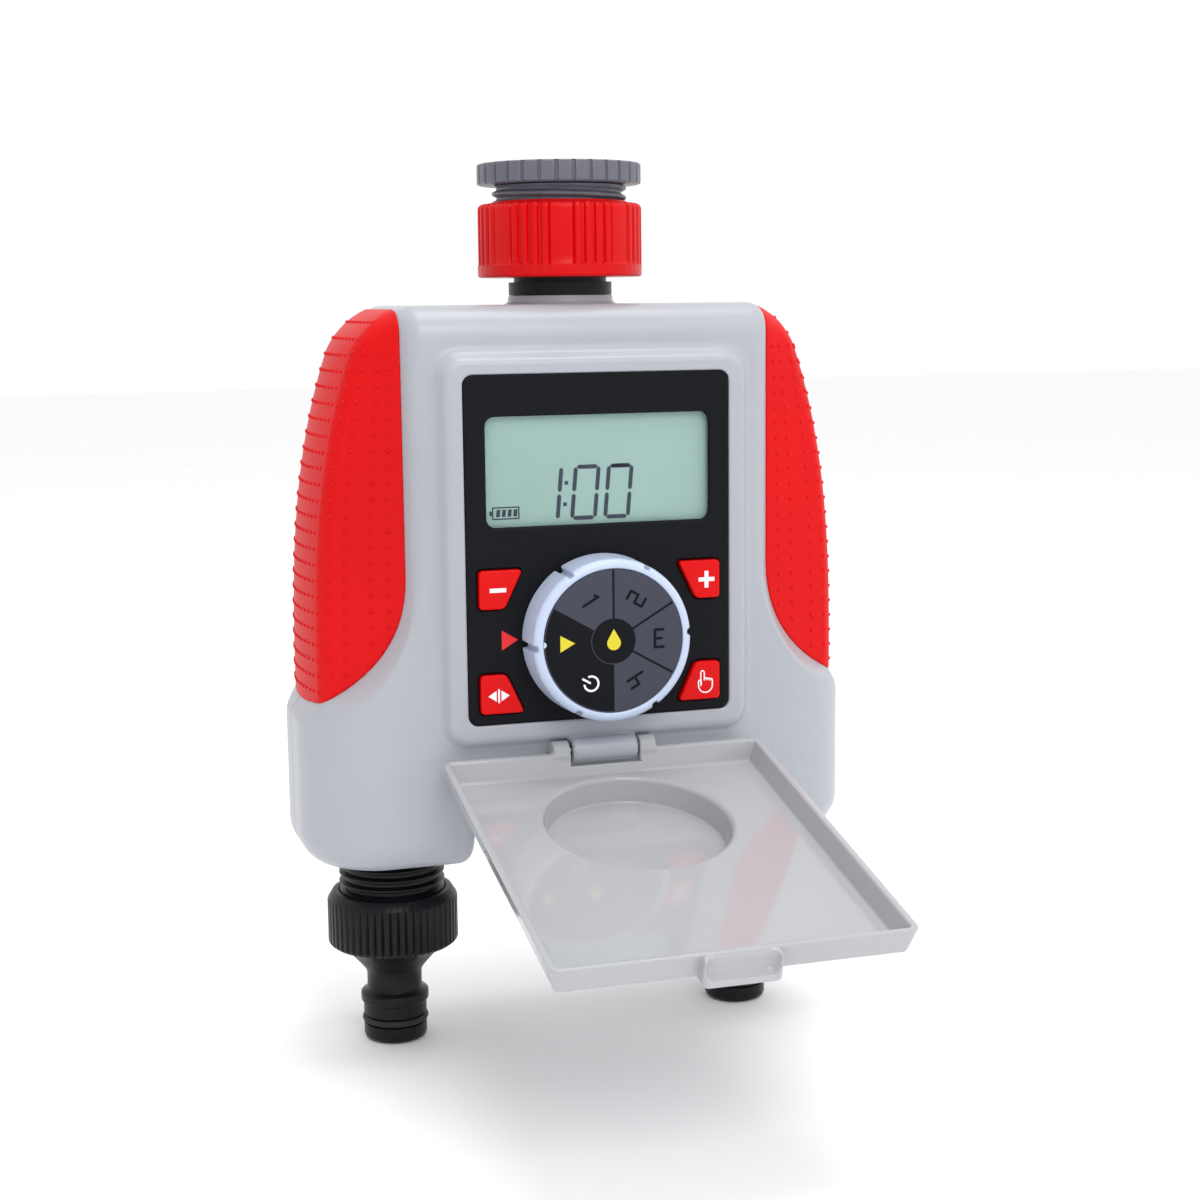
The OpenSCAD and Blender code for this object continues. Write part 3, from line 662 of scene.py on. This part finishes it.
def make_grips():
    """Both grips from one mesh: the left one is its mirror image."""
    xs = line(45.0, 0.5, 48, 0.9, 71.2)
    zs = line(-130.4, 0.55, -96, 0.9, -48, 0.5, -33)
    ys = line(-24.6, 0.55, -14, 1.1, 14, 0.55, 23.6)
    points, quads, normals = field_surface(grip_field, xs, ys, zs)
    front, side = grip_dots()
    for hand, name in ((1, "right_grip"), (-1, "left_grip")):
        flip = np.array([hand, 1, 1])
        faces = quads if hand > 0 else quads[:, ::-1]
        skin = new_piece(name + "_skin", points * flip, faces, GRIP_RED, normals * flip)
        dots, dot_faces = [], []
        for places, (radius, height) in ((front, FRONT_DOT), (side, SIDE_DOT)):
            slopes = gradient(flank, places)
            for at, slope in zip(places, slopes):
                corner, loops = dome(at * flip, slope * flip, radius, height)
                start = len(dots)
                dots += corner
                dot_faces += [tuple(start + i for i in loop) for loop in loops]
        bumps = new_piece(name + "_dots", dots, dot_faces, GRIP_RED)
        attach(join_pieces(name + "_skin", [skin, bumps]), "case", "grip_red", name)


# ---- Flat shapes and prints ----

def plate(name, outlines, y, thickness, material):
    """Upright plates with their fronts at y, one from each front-view outline of (x, z) points.

    The fronts are a hair apart, so that outlines that overlap don't share a plane."""
    points, faces = [], []
    for number, outline in enumerate(outlines):
        start, n = len(points), len(outline)
        front = y - PRINT_STEP * number
        points += [(u, front, v) for u, v in outline] + [(u, y + thickness, v) for u, v in outline]
        faces.append([start + k for k in range(n)])
        faces.append([start + n + k for k in reversed(range(n))])
        faces += [(start + k, start + k + n, start + (k + 1) % n + n, start + (k + 1) % n) for k in range(n)]
    piece = new_piece(name, points, faces, material)
    tidy = piece.modifiers.new("normals", "TRIANGULATE")
    bpy.context.view_layer.objects.active = piece
    piece.select_set(True)
    bpy.ops.object.modifier_apply(modifier=tidy.name)
    bpy.ops.object.mode_set(mode="EDIT")
    bpy.ops.mesh.select_all(action="SELECT")
    bpy.ops.mesh.normals_make_consistent(inside=False)
    bpy.ops.object.mode_set(mode="OBJECT")
    piece.select_set(False)
    piece.data.polygons.foreach_set("use_smooth", [False] * len(piece.data.polygons))
    return piece


def arc(u, v, r, a0, a1, steps=12):
    """Points on an arc from angle a0 to a1, in degrees."""
    angles = [math.radians(a0 + (a1 - a0) * k / steps) for k in range(steps + 1)]
    return [(u + r * math.cos(a), v + r * math.sin(a)) for a in angles]


def round_bar(u0, v0, u1, v1, width):
    """Outline of a bar with round ends."""
    a = math.degrees(math.atan2(v1 - v0, u1 - u0))
    return arc(u1, v1, width / 2, a - 90, a + 90, 6) + arc(u0, v0, width / 2, a + 90, a + 270, 6)


def square_bar(u0, v0, u1, v1, width):
    """Outline of a bar with pointed ends, as in a display's digits."""
    length = math.hypot(u1 - u0, v1 - v0)
    du, dv = (u1 - u0) / length, (v1 - v0) / length
    h = width / 2
    local = [(0, 0), (h, h), (length - h, h), (length, 0), (length - h, -h), (h, -h)]
    return [(u0 + p * du - q * dv, v0 + p * dv + q * du) for p, q in local]


def ring(u, v, r0, r1, a0=0, a1=360, steps=24):
    """Outlines that make up a ring or a part of one."""
    cells = []
    for k in range(steps):
        b0, b1 = a0 + (a1 - a0) * k / steps, a0 + (a1 - a0) * (k + 1) / steps
        cells.append(arc(u, v, r0, b0, b1, 1) + arc(u, v, r1, b1, b0, 1))
    return cells


def moved(outlines, u, v, turn=0):
    """Outlines turned by an angle in degrees and moved."""
    c, s = math.cos(math.radians(turn)), math.sin(math.radians(turn))
    return [[(u + p * c - q * s, v + p * s + q * c) for p, q in outline] for outline in outlines]


# Strokes of the digits 1 to 4 in a box one wide and two high, round its middle
DIGITS = {
    1: [(-0.3, 0.7, 0.05, 1), (0.05, 1, 0.05, -1)],
    2: [(-0.5, 1, 0.5, 1), (0.5, 1, 0.5, 0), (0.5, 0, -0.5, 0), (-0.5, 0, -0.5, -1), (-0.5, -1, 0.5, -1)],
    3: [(-0.5, 1, 0.5, 1), (0.5, 1, 0.5, -1), (-0.3, 0, 0.5, 0), (-0.5, -1, 0.5, -1)],
    4: [(-0.5, 1, -0.5, 0), (-0.5, 0, 0.5, 0), (0.5, 1, 0.5, -1)],
}


def digit(number, size, width):
    """Outlines of one digit's strokes."""
    return [round_bar(a * size, b * size, c * size, d * size, width) for a, b, c, d in DIGITS[number]]


# ---- Control panel ----

# Each row of buttons: x of the inner edge at its top and bottom, then z of its top and bottom
BUTTON_EDGES = {1: (19.1, 23.6, -96.0, -105.3), -1: (23.4, 19.1, -121.0, -130.4)}


def button_outline(ax, z, row):
    """Front outline of a button: row 1 is the upper pair, -1 the lower pair."""
    inner_top, inner_bottom, z1, z0 = BUTTON_EDGES[row]
    lean = (inner_top - inner_bottom) / (z1 - z0)
    slant = (inner_bottom + 0.4 + lean * (z - z0) - ax) / math.hypot(1, lean)
    sides = common(common(slant, ax - 30.2, 1), z - z1, 1)
    return common(sides, z0 - z, 1)


def panel_field(x, y, z):
    """Panel with the openings for the display, buttons and dial, and the posts that hold the board."""
    body = common(rect(x, z, -PANEL_HALF, PANEL_BOTTOM, PANEL_HALF, PANEL_TOP, 2.5), PANEL_Y - y, 0.35)
    body = np.maximum(body, y - PANEL_Y - PANEL_T)
    body = cut(body, rect(x, z, *LCD, 2.3), 0.5)
    seat = rect(x, z, LCD[0] - 1.3, LCD[1] - 1.3, LCD[2] + 1.3, LCD[3] + 1.3, 2.5)
    body = np.maximum(body, -np.maximum(seat, PANEL_Y + PANEL_T - 1.05 - y))
    ax = np.abs(x)
    for row in (1, -1):
        body = cut(body, button_outline(ax, z, row) - 0.25, 0.3)
    body = np.maximum(body, -disc(x, z - DIAL_Z, 4.6))
    for px, pz in ((28, -54.3), (28.4, -113)):
        away = disc(ax - px, z - pz, 0)
        post = np.maximum(np.maximum(away - 2, 0.95 - away), slab(y, PANEL_Y + PANEL_T - 0.5, -19.55))
        body = np.minimum(body, post)
    return body


def make_panel():
    """The black panel plate."""
    xs = mirrored(0, 1.2, 3, 0.5, 6, 1.2, 18, 0.45, 34)
    zs = line(-133.8, 0.45, -120, 0.8, -118, 0.8, -106, 0.45, -95, 1.0, -88.5, 0.4, -85, 1.5, -61.5,
              0.4, -50)
    panel = field_piece("panel_plate", panel_field, xs, line(-31.3, 0.35, -28, 1.2, -19), zs, PANEL)
    attach(panel, "case", "panel_black", "control_panel")


def window_field(x, y, z):
    """The display's window, 1.2 mm behind the panel's face."""
    outline = rect(x, z, -29, -87.2, 29, -58.8, 2.4)
    return common(outline, slab(y, PANEL_Y + 1.2, PANEL_Y + 2.2), 0.2)


def make_window():
    """The clear window over the display."""
    window = field_piece("display_window", window_field, mirrored(0, 3, 24, 0.6, 29.6),
                         line(-29.9, 0.2, -28.3), line(-88, 0.6, -84, 2, -62, 0.6, -58), WINDOW)
    attach(window, "case", "window_clear", "lcd_window")


def make_pointer():
    """The red arrow that points at the dial."""
    pointer = plate("dial_pointer", [[(-24.7, -110.5), (-20.7, DIAL_Z), (-24.7, -115.3)]],
                    PANEL_Y - 0.05, 0.06, PRINT_RED)
    attach(pointer, "case", "button_red")


def time_marks():
    """Outlines of the time on the display, 1:00."""
    marks = []

    def segment(u0, v0, u1, v1):
        start = (u0 + DIGIT_LEAN * v0, v0 + DIGITS_Z)
        end = (u1 + DIGIT_LEAN * v1, v1 + DIGITS_Z)
        marks.append(square_bar(*start, *end, 1.0))

    high = 6.1
    for left in (-5.7, 2.6):
        right = left + 5.7
        for u in (left, right):
            segment(u, 0.2, u, high)
            segment(u, -high, u, -0.2)
        segment(left + 0.2, high, right - 0.2, high)
        segment(left + 0.2, -high, right - 0.2, -high)
    segment(-9.3, 0.2, -9.3, high)
    segment(-9.3, -high, -9.3, -0.2)
    for u, v in ((-7.6, -76.2), (-8.0, -81.3)):
        marks.append([(u - 0.45, v - 0.45), (u + 0.45, v - 0.45), (u + 0.5, v + 0.45), (u - 0.4, v + 0.45)])
    return marks


def battery_marks():
    """Outlines of the battery symbol: its frame, its pole and four bars."""
    left, right, low, high = -25.8, -19.4, -84.2, -81.5
    frame_bars = [(left, low, right, low), (left, high, right, high), (left, low, left, high),
                  (right, low, right, high)]
    marks = [round_bar(*bar, 0.32) for bar in frame_bars]
    pole_low, pole_high = low + 0.8, high - 0.8
    marks.append([(left - 0.8, pole_low), (left - 0.2, pole_low), (left - 0.2, pole_high),
                  (left - 0.8, pole_high)])
    for k in range(4):
        u = left + 0.8 + 1.4 * k
        marks.append([(u, low + 0.5), (u + 0.9, low + 0.5), (u + 1.1, high - 0.5), (u + 0.2, high - 0.5)])
    return marks


def make_display():
    """The display's dark marks, seen through the window. Its film is the CAD's own node."""
    face = PANEL_Y + PANEL_T + GAP
    digits = plate("display_digits", time_marks() + battery_marks(), face - 0.04, 0.04, PRINT_DARK)
    attach(digits, "case", "display")


# ---- Buttons ----

def make_button(name, hand, row, body):
    """A push button: its cap, the flange that keeps it in the panel, and the stem to its switch."""
    back = PANEL_Y + PANEL_T
    stem_x, stem_z = (26, -100.65) if row > 0 else (25.5, -125.7)

    def field(x, y, z):
        ax = x * hand
        outline = button_outline(ax, z, row)
        cap = common(outline, BUTTON_FACE - y, 0.45)
        cap = np.maximum(cap, y - PANEL_Y - PANEL_T)
        flange = np.maximum(outline - 0.7, slab(y, back + 0.1, back + 0.9))
        flange_neck = np.maximum(outline, slab(y, PANEL_Y + 1, back + 0.5))
        stem = np.maximum(disc(ax - stem_x, z - stem_z, 2.2), slab(y, back + 0.5, -24.6))
        return np.minimum(np.minimum(cap, flange_neck), np.minimum(flange, stem))

    _, _, z1, z0 = BUTTON_EDGES[row]
    right = line(18, 0.35, 31.4)
    xs = right if hand > 0 else [-x for x in reversed(right)]
    cap = field_piece(name + "_cap", field, xs, line(-32.3, 0.22, -31, 0.6, -29, 0.3, -27.2, 0.7, -24),
                      line(z0 - 1.2, 0.35, z1 + 1.2), BUTTON_RED)
    attach(cap, body, "button_red", name + "_button")


def stroke(points, width):
    """Outlines that follow a line of points."""
    return [round_bar(*a, *b, width) for a, b in zip(points, points[1:])]


def box_outline(half_width, half_height):
    """Outline of a rectangle round the origin."""
    return [(-half_width, -half_height), (half_width, -half_height), (half_width, half_height),
            (-half_width, half_height)]


def hand_icon():
    """A pointing hand, drawn in outline."""
    path = [(-0.75, -0.9)] + arc(-0.3, 2.3, 0.45, 180, 0, 6) + [(0.15, 0.4)]
    for k in range(3):
        path += arc(0.5 + 0.7 * k, 0.6 - 0.15 * k, 0.35, 180, 0, 4)
    path += [(2.25, -0.9)] + arc(0.45, -0.9, 1.8, 0, -180, 10) + arc(-1.0, 0.1, 0.35, 180, 0, 4)
    return stroke(path + [(-0.65, -0.6)], 0.3)


def arrow_pair():
    """Two arrows, one for each outlet."""
    arrows = []
    for hand in (-1, 1):
        arrows.append([(hand * 0.6, 1.3), (hand * 0.6, -1.3), (hand * 2.6, 0)])
    return arrows + [round_bar(0, -1.5, 0, 1.5, 0.45)]


def make_buttons():
    """The four buttons and their white symbols: side, row and outlines of each."""
    icons = {
        "minus": (-1, 1, [box_outline(2.0, 0.5)]),
        "plus": (1, 1, [box_outline(2.05, 0.5), box_outline(0.5, 2.05)]),
        "zone": (-1, -1, arrow_pair()),
        "manual": (1, -1, hand_icon()),
    }
    for name, (hand, row, icon) in icons.items():
        body = name + "_key"
        make_button(name, hand, row, body)
        place = (hand * 25.7 + 0.5 + 0.5 * hand, -100.7) if row > 0 else (hand * 25.4 + 0.5 * hand, -126)
        mark = plate(name + "_mark", moved(icon, *place), BUTTON_FACE - 0.05, 0.07, PRINT_WHITE)
        attach(mark, body, "white_plastic")


# ---- Dial ----

def dial_field(x, y, z):
    """Knob: a drum with a seat for the label, hollow behind, a stem to the switch and six notches."""
    v = z - DIAL_Z
    away = np.sqrt(x * x + v * v)
    drum = common(away - DIAL_R - 0.04 * (y - DIAL_FRONT - 4), DIAL_FRONT - y, 1.5)
    drum = common(drum, y - PANEL_Y + 0.3, 0.3)
    drum = cut(drum, np.maximum(away - 17.25, y - DIAL_FRONT - 0.8), 0.35)
    hollow = np.maximum(away - 17, DIAL_FRONT + 2.4 - y)
    hollow = np.maximum(hollow, -np.maximum(away - 4.3, y - PANEL_Y - 2))
    drum = np.maximum(drum, -hollow)
    drum = np.minimum(drum, np.maximum(away - 4.3, slab(y, DIAL_FRONT + 3, -25.5)))
    drum = np.maximum(drum, -np.maximum(away - 3.02, DIAL_FRONT + 2.6 - y))
    sector = np.mod(np.arctan2(v, x) - math.radians(3), math.pi / 3)
    sector = np.minimum(sector, math.pi / 3 - sector)
    notch = common(away * np.sin(sector) - 0.75, DIAL_R - 1.15 - away * np.cos(sector), 0.4)
    return cut(drum, notch, 0.35)


def dial_point(r, degrees):
    """Point on a circle round the dial's middle, in the front view."""
    a = math.radians(degrees)
    return r * math.cos(a), r * math.sin(a) + DIAL_Z


def make_dial():
    """The pale knob with its rim."""
    span = mirrored(0, 0.4, 20.3)
    knob = field_piece("dial_rim", dial_field, span, line(-41.5, 0.3, -36, 0.9, -32, 0.4, -30, 0.8, -25),
                       [DIAL_Z + s for s in span], DIAL_PALE)
    attach(knob, "dial", "dial_pale", "dial_knob")


def make_dial_label():
    """The printed disc: grey, with dark fields at its middle and lower left and dark lines between."""
    label = plate("dial_disc", [arc(0, 0, 17.12, 0, 360, 96)[:-1]], 0, 0.5, LABEL_GREY)
    label.data.transform(Matrix.Translation((0, LABEL_FACE * MM, DIAL_Z * MM)))
    attach(label, "dial", "label_grey", "dial_label")
    dark = moved(ring(0, 0, 5.6, 16.9, 150, 270, 20), 0, DIAL_Z)
    dark.append([(u, v + DIAL_Z) for u, v in arc(0, 0, 5.4, 0, 360, 40)[:-1]])
    attach(plate("dial_dark_fields", dark, LABEL_FACE - 0.02, 0.02, LABEL_DARK), "dial", "label_grey")
    lines = [square_bar(*dial_point(5.2, a), *dial_point(17.1, a), 0.5) for a in (-30, 30, 90)]
    attach(plate("dial_lines", lines, LABEL_FACE - 0.05, 0.05, LABEL_DARK), "dial", "label_grey")


def make_dial_marks():
    """The label's numbers 1 to 4, the run arrow, the drop in the middle and the power symbol."""
    marks = []
    for number, a in ((1, 120), (2, 60), (3, 0), (4, -60)):
        marks += moved(digit(number, 2.1, 0.62), *dial_point(11.3, a), a - 180)
    attach(plate("dial_numbers", marks, LABEL_FACE - 0.08, 0.08, LABEL_DARK), "dial", "label_grey")
    nub = [arc(-17.3, DIAL_Z, 0.7, -90, 90, 10)]
    attach(plate("dial_nub", nub, LABEL_FACE - 0.3, 0.3, DIAL_PALE), "dial", "dial_pale")
    run = [[(-13.2, DIAL_Z + 2), (-13.2, DIAL_Z - 2), (-9.6, DIAL_Z)]]
    drop = [arc(0, DIAL_Z - 0.5, 1.7, -210, 30, 16) + [(0, DIAL_Z + 2.9)]]
    attach(plate("dial_run_marks", run + drop, LABEL_FACE - 0.08, 0.08, PRINT_YELLOW), "dial",
           "white_plastic")
    power = ring(0, 0, 1.5, 2.0, 125, 415, 20) + [round_bar(0, 0.4, 0, 2.4, 0.5)]
    stop = moved(power, *dial_point(11.4, -120), 60)
    attach(plate("dial_stop_mark", stop, LABEL_FACE - 0.08, 0.08, PRINT_WHITE), "dial", "white_plastic")


# ---- Lid, built shut and turned open about its hinge ----

def lid_field(x, y, z):
    """Lid as it is when shut: a tray with sloping sides, the dial's recess, the thumb tab and two ears."""
    depth = LID_RIM_Y - y
    lean = 2.2 / LID_DEPTH
    sides = rect(x, z, -LID_HALF, LID_NEAR, LID_HALF, LID_FAR, 2.8) + lean * depth * 0.95
    shell = common(common(sides, depth - LID_DEPTH, 1.3), -depth, 0.5)
    inner = common(sides + LID_WALL, depth - LID_DEPTH + LID_WALL, 0.6)
    v = z - RECESS_Z
    away = np.sqrt(x * x + v * v)
    well = common(away - RECESS_R - LID_WALL + 0.2, RECESS_FLOOR - LID_WALL - y, 1.5)
    well = np.maximum(well, y - LID_FACE - 1.4)
    shell = joined(shell, well, 0.8)
    shell = cut(shell, inner, 0.45)
    bowl = common(away - RECESS_R + 0.14 * (LID_FACE - y), RECESS_FLOOR - y, 0.5)
    shell = cut(shell, bowl, 1.1)
    ax = np.abs(x)
    tab = common(ax - 8.6, slab(z, LID_FAR - 4, LID_FAR + 2.6), 1.3)
    tab = common(tab, slab(y, LID_FACE, LID_RIM_Y - 0.25), 1.0)
    scoop = common(ax - 8.1, LID_FACE + 1.7 - y, 2.4)
    scoop = common(scoop, LID_FAR + 0.25 - 0.12 * depth - z, 2.4)
    outside = np.maximum(tab, LID_FAR - 2.4 - z)
    shell = np.minimum(shell, cut(outside, scoop, 0.7))
    ear = common(disc(y - HINGE_Y, z - HINGE_Z, 2.5), slab(ax, 8.7, 13), 0.5)
    shell = joined(shell, ear, 0.8)
    slot = np.maximum(ax - 8.75, np.maximum(slab(y, -35.2, -25), slab(z, HINGE_Z - 4, HINGE_Z + 3.2)))
    shell = cut(shell, slot, 0.3)
    return np.maximum(shell, -np.maximum(disc(y - HINGE_Y, z - HINGE_Z, 1.12), ax - 12.4))


def open_lid():
    """Turn of the lid about its hinge, from shut to open."""
    hinge = Matrix.Translation((0, HINGE_Y * MM, HINGE_Z * MM))
    return hinge @ Matrix.Rotation(math.radians(LID_OPEN), 4, "X") @ hinge.inverted()


def make_lid():
    """The lid, opened."""
    xs = mirrored(0, 0.9, 7, 0.45, 14, 0.8, 22, 0.8, 36, 0.4, 41)
    zs = line(-144.4, 0.45, -135.5, 0.7, -88, 1.0, -52, 0.4, -43)
    lid = field_piece("lid_tray", lid_field, xs, line(-44.8, 0.4, -28), zs, LID_GREY, open_lid())
    attach(lid, "lid", "lid_grey", "front_lid")


# ---- Turned and ribbed fittings ----

def turned(name, profile, material, segments, centre=(0, 0), ribs=None):
    """Closed turned piece about an upright axis.

    The profile is a loop of (r, z) points, and ribs(angle, r, z) gives the radius at each point."""
    angles = np.arange(segments) * 2 * math.pi / segments
    profile = np.array(profile, float)
    r = np.broadcast_to(profile[:, 0][:, None], (len(profile), segments)).copy()
    z = np.broadcast_to(profile[:, 1][:, None], (len(profile), segments)).copy()
    if ribs is not None:
        r = ribs(angles[None, :], r, z)
    points = np.stack([centre[0] + r * np.cos(angles), centre[1] + r * np.sin(angles), z], 2).reshape(-1, 3)
    faces, rows = [], len(profile)
    for i in range(rows):
        for k in range(segments):
            a, b = i * segments + k, i * segments + (k + 1) % segments
            up = (i + 1) % rows * segments - i * segments
            faces.append((a, b, b + up, a + up))
    piece = new_piece(name, points, faces, material)
    mark_sharp(piece, 38)
    return piece


def mark_sharp(piece, degrees):
    """Smooth shading with hard edges where faces meet at more than this angle."""
    for other in bpy.context.selected_objects:
        other.select_set(False)
    bpy.context.view_layer.objects.active = piece
    piece.select_set(True)
    bpy.ops.object.shade_smooth_by_angle(angle=math.radians(degrees))
    piece.select_set(False)


def rows_between(r0, z0, r1, z1, step):
    """Profile points on a straight wall, close enough to carry a thread."""
    n = max(1, round(abs(z1 - z0) / step))
    return [(r0 + (r1 - r0) * k / n, z0 + (z1 - z0) * k / n) for k in range(n + 1)]


def thread(r_out, depth, z_top, z_end):
    """Radius change for a helical thread on the wall at r_out, which fades out at its lower end."""
    def change(angle, r, z):
        turn = np.mod((z - z_top) / PITCH + angle / (2 * math.pi), 1)
        crest = np.clip(1.6 - 4.2 * np.abs(turn - 0.5), 0, 1)
        fade = np.clip((z - z_end) / 1.2, 0, 1)
        on_wall = (np.abs(r - r_out) < 0.01) & (z < z_top) & (z > z_end - 0.01)
        return np.where(on_wall, r - depth * (1 - crest * fade), r)
    return change


def teeth(count, share, depth, r_out, z0, z1, soft):
    """Radius change for flat-topped teeth: share is the tooth's part of the pitch, soft is its flanks'."""
    def change(angle, r, z):
        phase = np.mod(angle * count / (2 * math.pi), 1)
        edge = np.minimum(np.abs(phase - 0.5), 0.5)
        groove = np.clip((edge - share / 2) / (0.5 * soft), 0, 1)
        on_wall = (r > r_out - 0.5) & (z > z0) & (z < z1)
        return np.where(on_wall, r - depth * groove, r)
    return change


def make_adapter():
    """Tap adapter: a knurled collar over its outside thread."""
    thread_r = 16.62
    knurl = teeth(30, 0.74, 0.6, 20.25, -5.2, 0.2, 0.1)
    cut_thread = thread(thread_r, 1.15, -4.9, -19.6)

    def shape(angle, r, z):
        return cut_thread(angle, knurl(angle, r, z), z)

    profile = [(9.5, -19.6), (9.5, -14.6), (13.4, -14.6), (13.4, -12.0), (12.1, -12.0), (12.1, -0.5),
               (12.6, 0), (19.75, 0), (20.05, -0.1), (20.25, -0.35), (20.25, -4.65), (20.05, -4.9),
               (19.75, -5.0), (16.0, -5.0), (15.4, -5.3)]
    profile += rows_between(thread_r, -5.4, thread_r, -19.2, 0.24) + [(15.3, -19.6)]
    adapter = turned("adapter_body", profile, ADAPTER, 480, ribs=shape)
    attach(adapter, "adapter", "adapter_grey", "tap_adapter")


def make_nut():
    """Swivel nut: eight groups of a flat panel and four flutes, over a smooth foot."""
    top, bottom = -9.7, -27.5

    def shape(angle, r, z):
        phase = np.mod(angle + math.radians(22.5), math.pi / 4) * 180 / math.pi
        flute = np.mod((phase - 15) / 7.5, 1)
        ridge = np.clip(2.2 * np.sin(math.pi * flute) ** 2 - 0.25, 0, 1)
        sunk = np.where(phase > 15, 0.8 * (1 - ridge), 0.4)
        fade = np.clip((z - bottom - 2.7) / 0.5, 0, 1)
        return np.where(r > 18.5, r - fade * sunk, r)

    profile = [(11.6, bottom), (11.6, -23.5), (16.68, -23.5), (16.68, top + 0.6), (17.1, top)]
    profile += [(19.0 + 1.5 * math.sin(math.radians(a)), top - 1.5 + 1.5 * math.cos(math.radians(a)))
                for a in range(0, 91, 15)]
    profile += [(20.5, -16), (20.5, -22), (20.5, bottom + 3.3), (20.5, bottom + 3.0), (20.5, bottom + 2.8),
                (20.4, bottom + 2.6), (20.4, bottom + 0.5), (20.0, bottom)]
    nut = turned("swivel_nut", profile, NUT_RED, 384, ribs=shape)
    attach(nut, "nut", "red_plastic", "inlet_nut")


def make_plunger_spring(side, hand):
    """Coil spring over a plunger."""
    radius = 1.9
    wire = 0.28
    top = -74.1
    height = 9.8
    turns = 5
    steps = 40 * turns
    sides = 12
    points, faces = [], []
    for i in range(steps + 1):
        turn = 2 * math.pi * turns * i / steps
        level = top - height + wire + (height - 2 * wire) * i / steps
        for k in range(sides):
            a = 2 * math.pi * k / sides
            r = radius + wire * math.cos(a)
            points.append((hand * OUTLET_X + r * math.cos(turn), r * math.sin(turn),
                           level + wire * math.sin(a)))
    for i in range(steps):
        for k in range(sides):
            a, b = i * sides + k, i * sides + (k + 1) % sides
            faces.append((a, a + sides, b + sides, b))
    faces.append(tuple(range(sides)))
    faces.append(tuple(steps * sides + k for k in reversed(range(sides))))
    spring = new_piece(side + "_valve_spring", points, faces, STEEL)
    attach(spring, "case", "steel", side + "_plunger_spring")
    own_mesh(spring)


def make_hose_end(side, hand):
    """Hose connector: a ribbed nut over a nose for click-on couplings."""
    x = hand * OUTLET_X
    ribs = teeth(52, 0.5, 0.5, 16.35, -193.0, -181.5, 0.5)
    nut = [(5.2, -218.3), (5.2, -190.2), (13.28, -190.2), (13.28, -179.8), (13.6, -179.4), (14.6, -179.4),
           (15.0, -179.6), (16.2, -181.5), (16.35, -181.9), (16.35, -187), (16.35, -192.4),
           (16.1, -192.9), (15.3, -193.5), (13.4, -194.3), (11.6, -195.3), (9.9, -197.1), (8.6, -198.6)]
    nose = [(7.6, -199.8), (7.1, -200.6), (6.9, -201.4), (6.9, -205.3), (7.1, -205.6), (8.2, -206.2),
            (8.5, -206.5), (8.55, -206.9), (8.55, -208.3), (8.4, -208.7), (7.95, -209.1), (7.95, -212.0),
            (7.7, -212.25), (6.6, -212.4), (6.6, -214.2), (7.7, -214.35), (7.95, -214.6), (7.95, -217.2),
            (7.7, -217.9), (7.1, -218.3)]
    body = turned(side + "_hose_body", nut + nose, BLACK, 416, (x, 0), ribs)
    attach(body, side + "_hose_end", "black_plastic", side + "_connector")


# ---- Finishes of the CAD nodes that are shown as they are ----

FINISHES = {
    "black_plastic": BLACK, "steel": STEEL, "black_rubber": RUBBER, "board_green": BOARD, "display": DISPLAY,
    "switch_blue": SWITCH, "bay_grey": BAY, "cell_wrap": CELL, "white_plastic": WHITE, "copper": COPPER,
    "case_grey": CASE_GREY, "lid_grey": LID_GREY, "grip_red": GRIP_RED, "red_plastic": NUT_RED,
    "button_red": BUTTON_RED, "adapter_grey": ADAPTER, "panel_black": PANEL, "window_clear": WINDOW,
    "dial_pale": DIAL_PALE, "label_grey": LABEL_GREY,
}


def finish_cad_nodes():
    """Gives each CAD node the material of its slot in the record."""
    for row in frame["record"]["subparts"]:
        mesh = frame["nodes"][row["node"]].data
        mesh.materials.clear()
        mesh.materials.append(FINISHES[row["material_slot"]])


# ---- The scene ----

def make_stage():
    """White floor just below the hose connectors."""
    level = node_box("left_connector")[0][2] - FLOOR_GAP
    corners = [(x, y, level) for x, y in box_outline(FLOOR_HALF, FLOOR_HALF)]
    new_piece("floor", corners, [(0, 1, 2, 3)], FLOOR)


make_camera()
make_world()
bpy.context.scene.view_settings.view_transform = "Standard"
finish_cad_nodes()
make_case()
make_neck()
make_grips()
make_panel()
make_window()
make_pointer()
make_display()
make_buttons()
make_dial()
make_dial_label()
make_dial_marks()
make_lid()
make_adapter()
make_nut()
for side, hand in (("left", -1), ("right", 1)):
    make_hose_end(side, hand)
    make_plunger_spring(side, hand)
make_stage()
for name, (at, aim, power) in LIGHTS.items():
    add_light(name, at, aim, power)
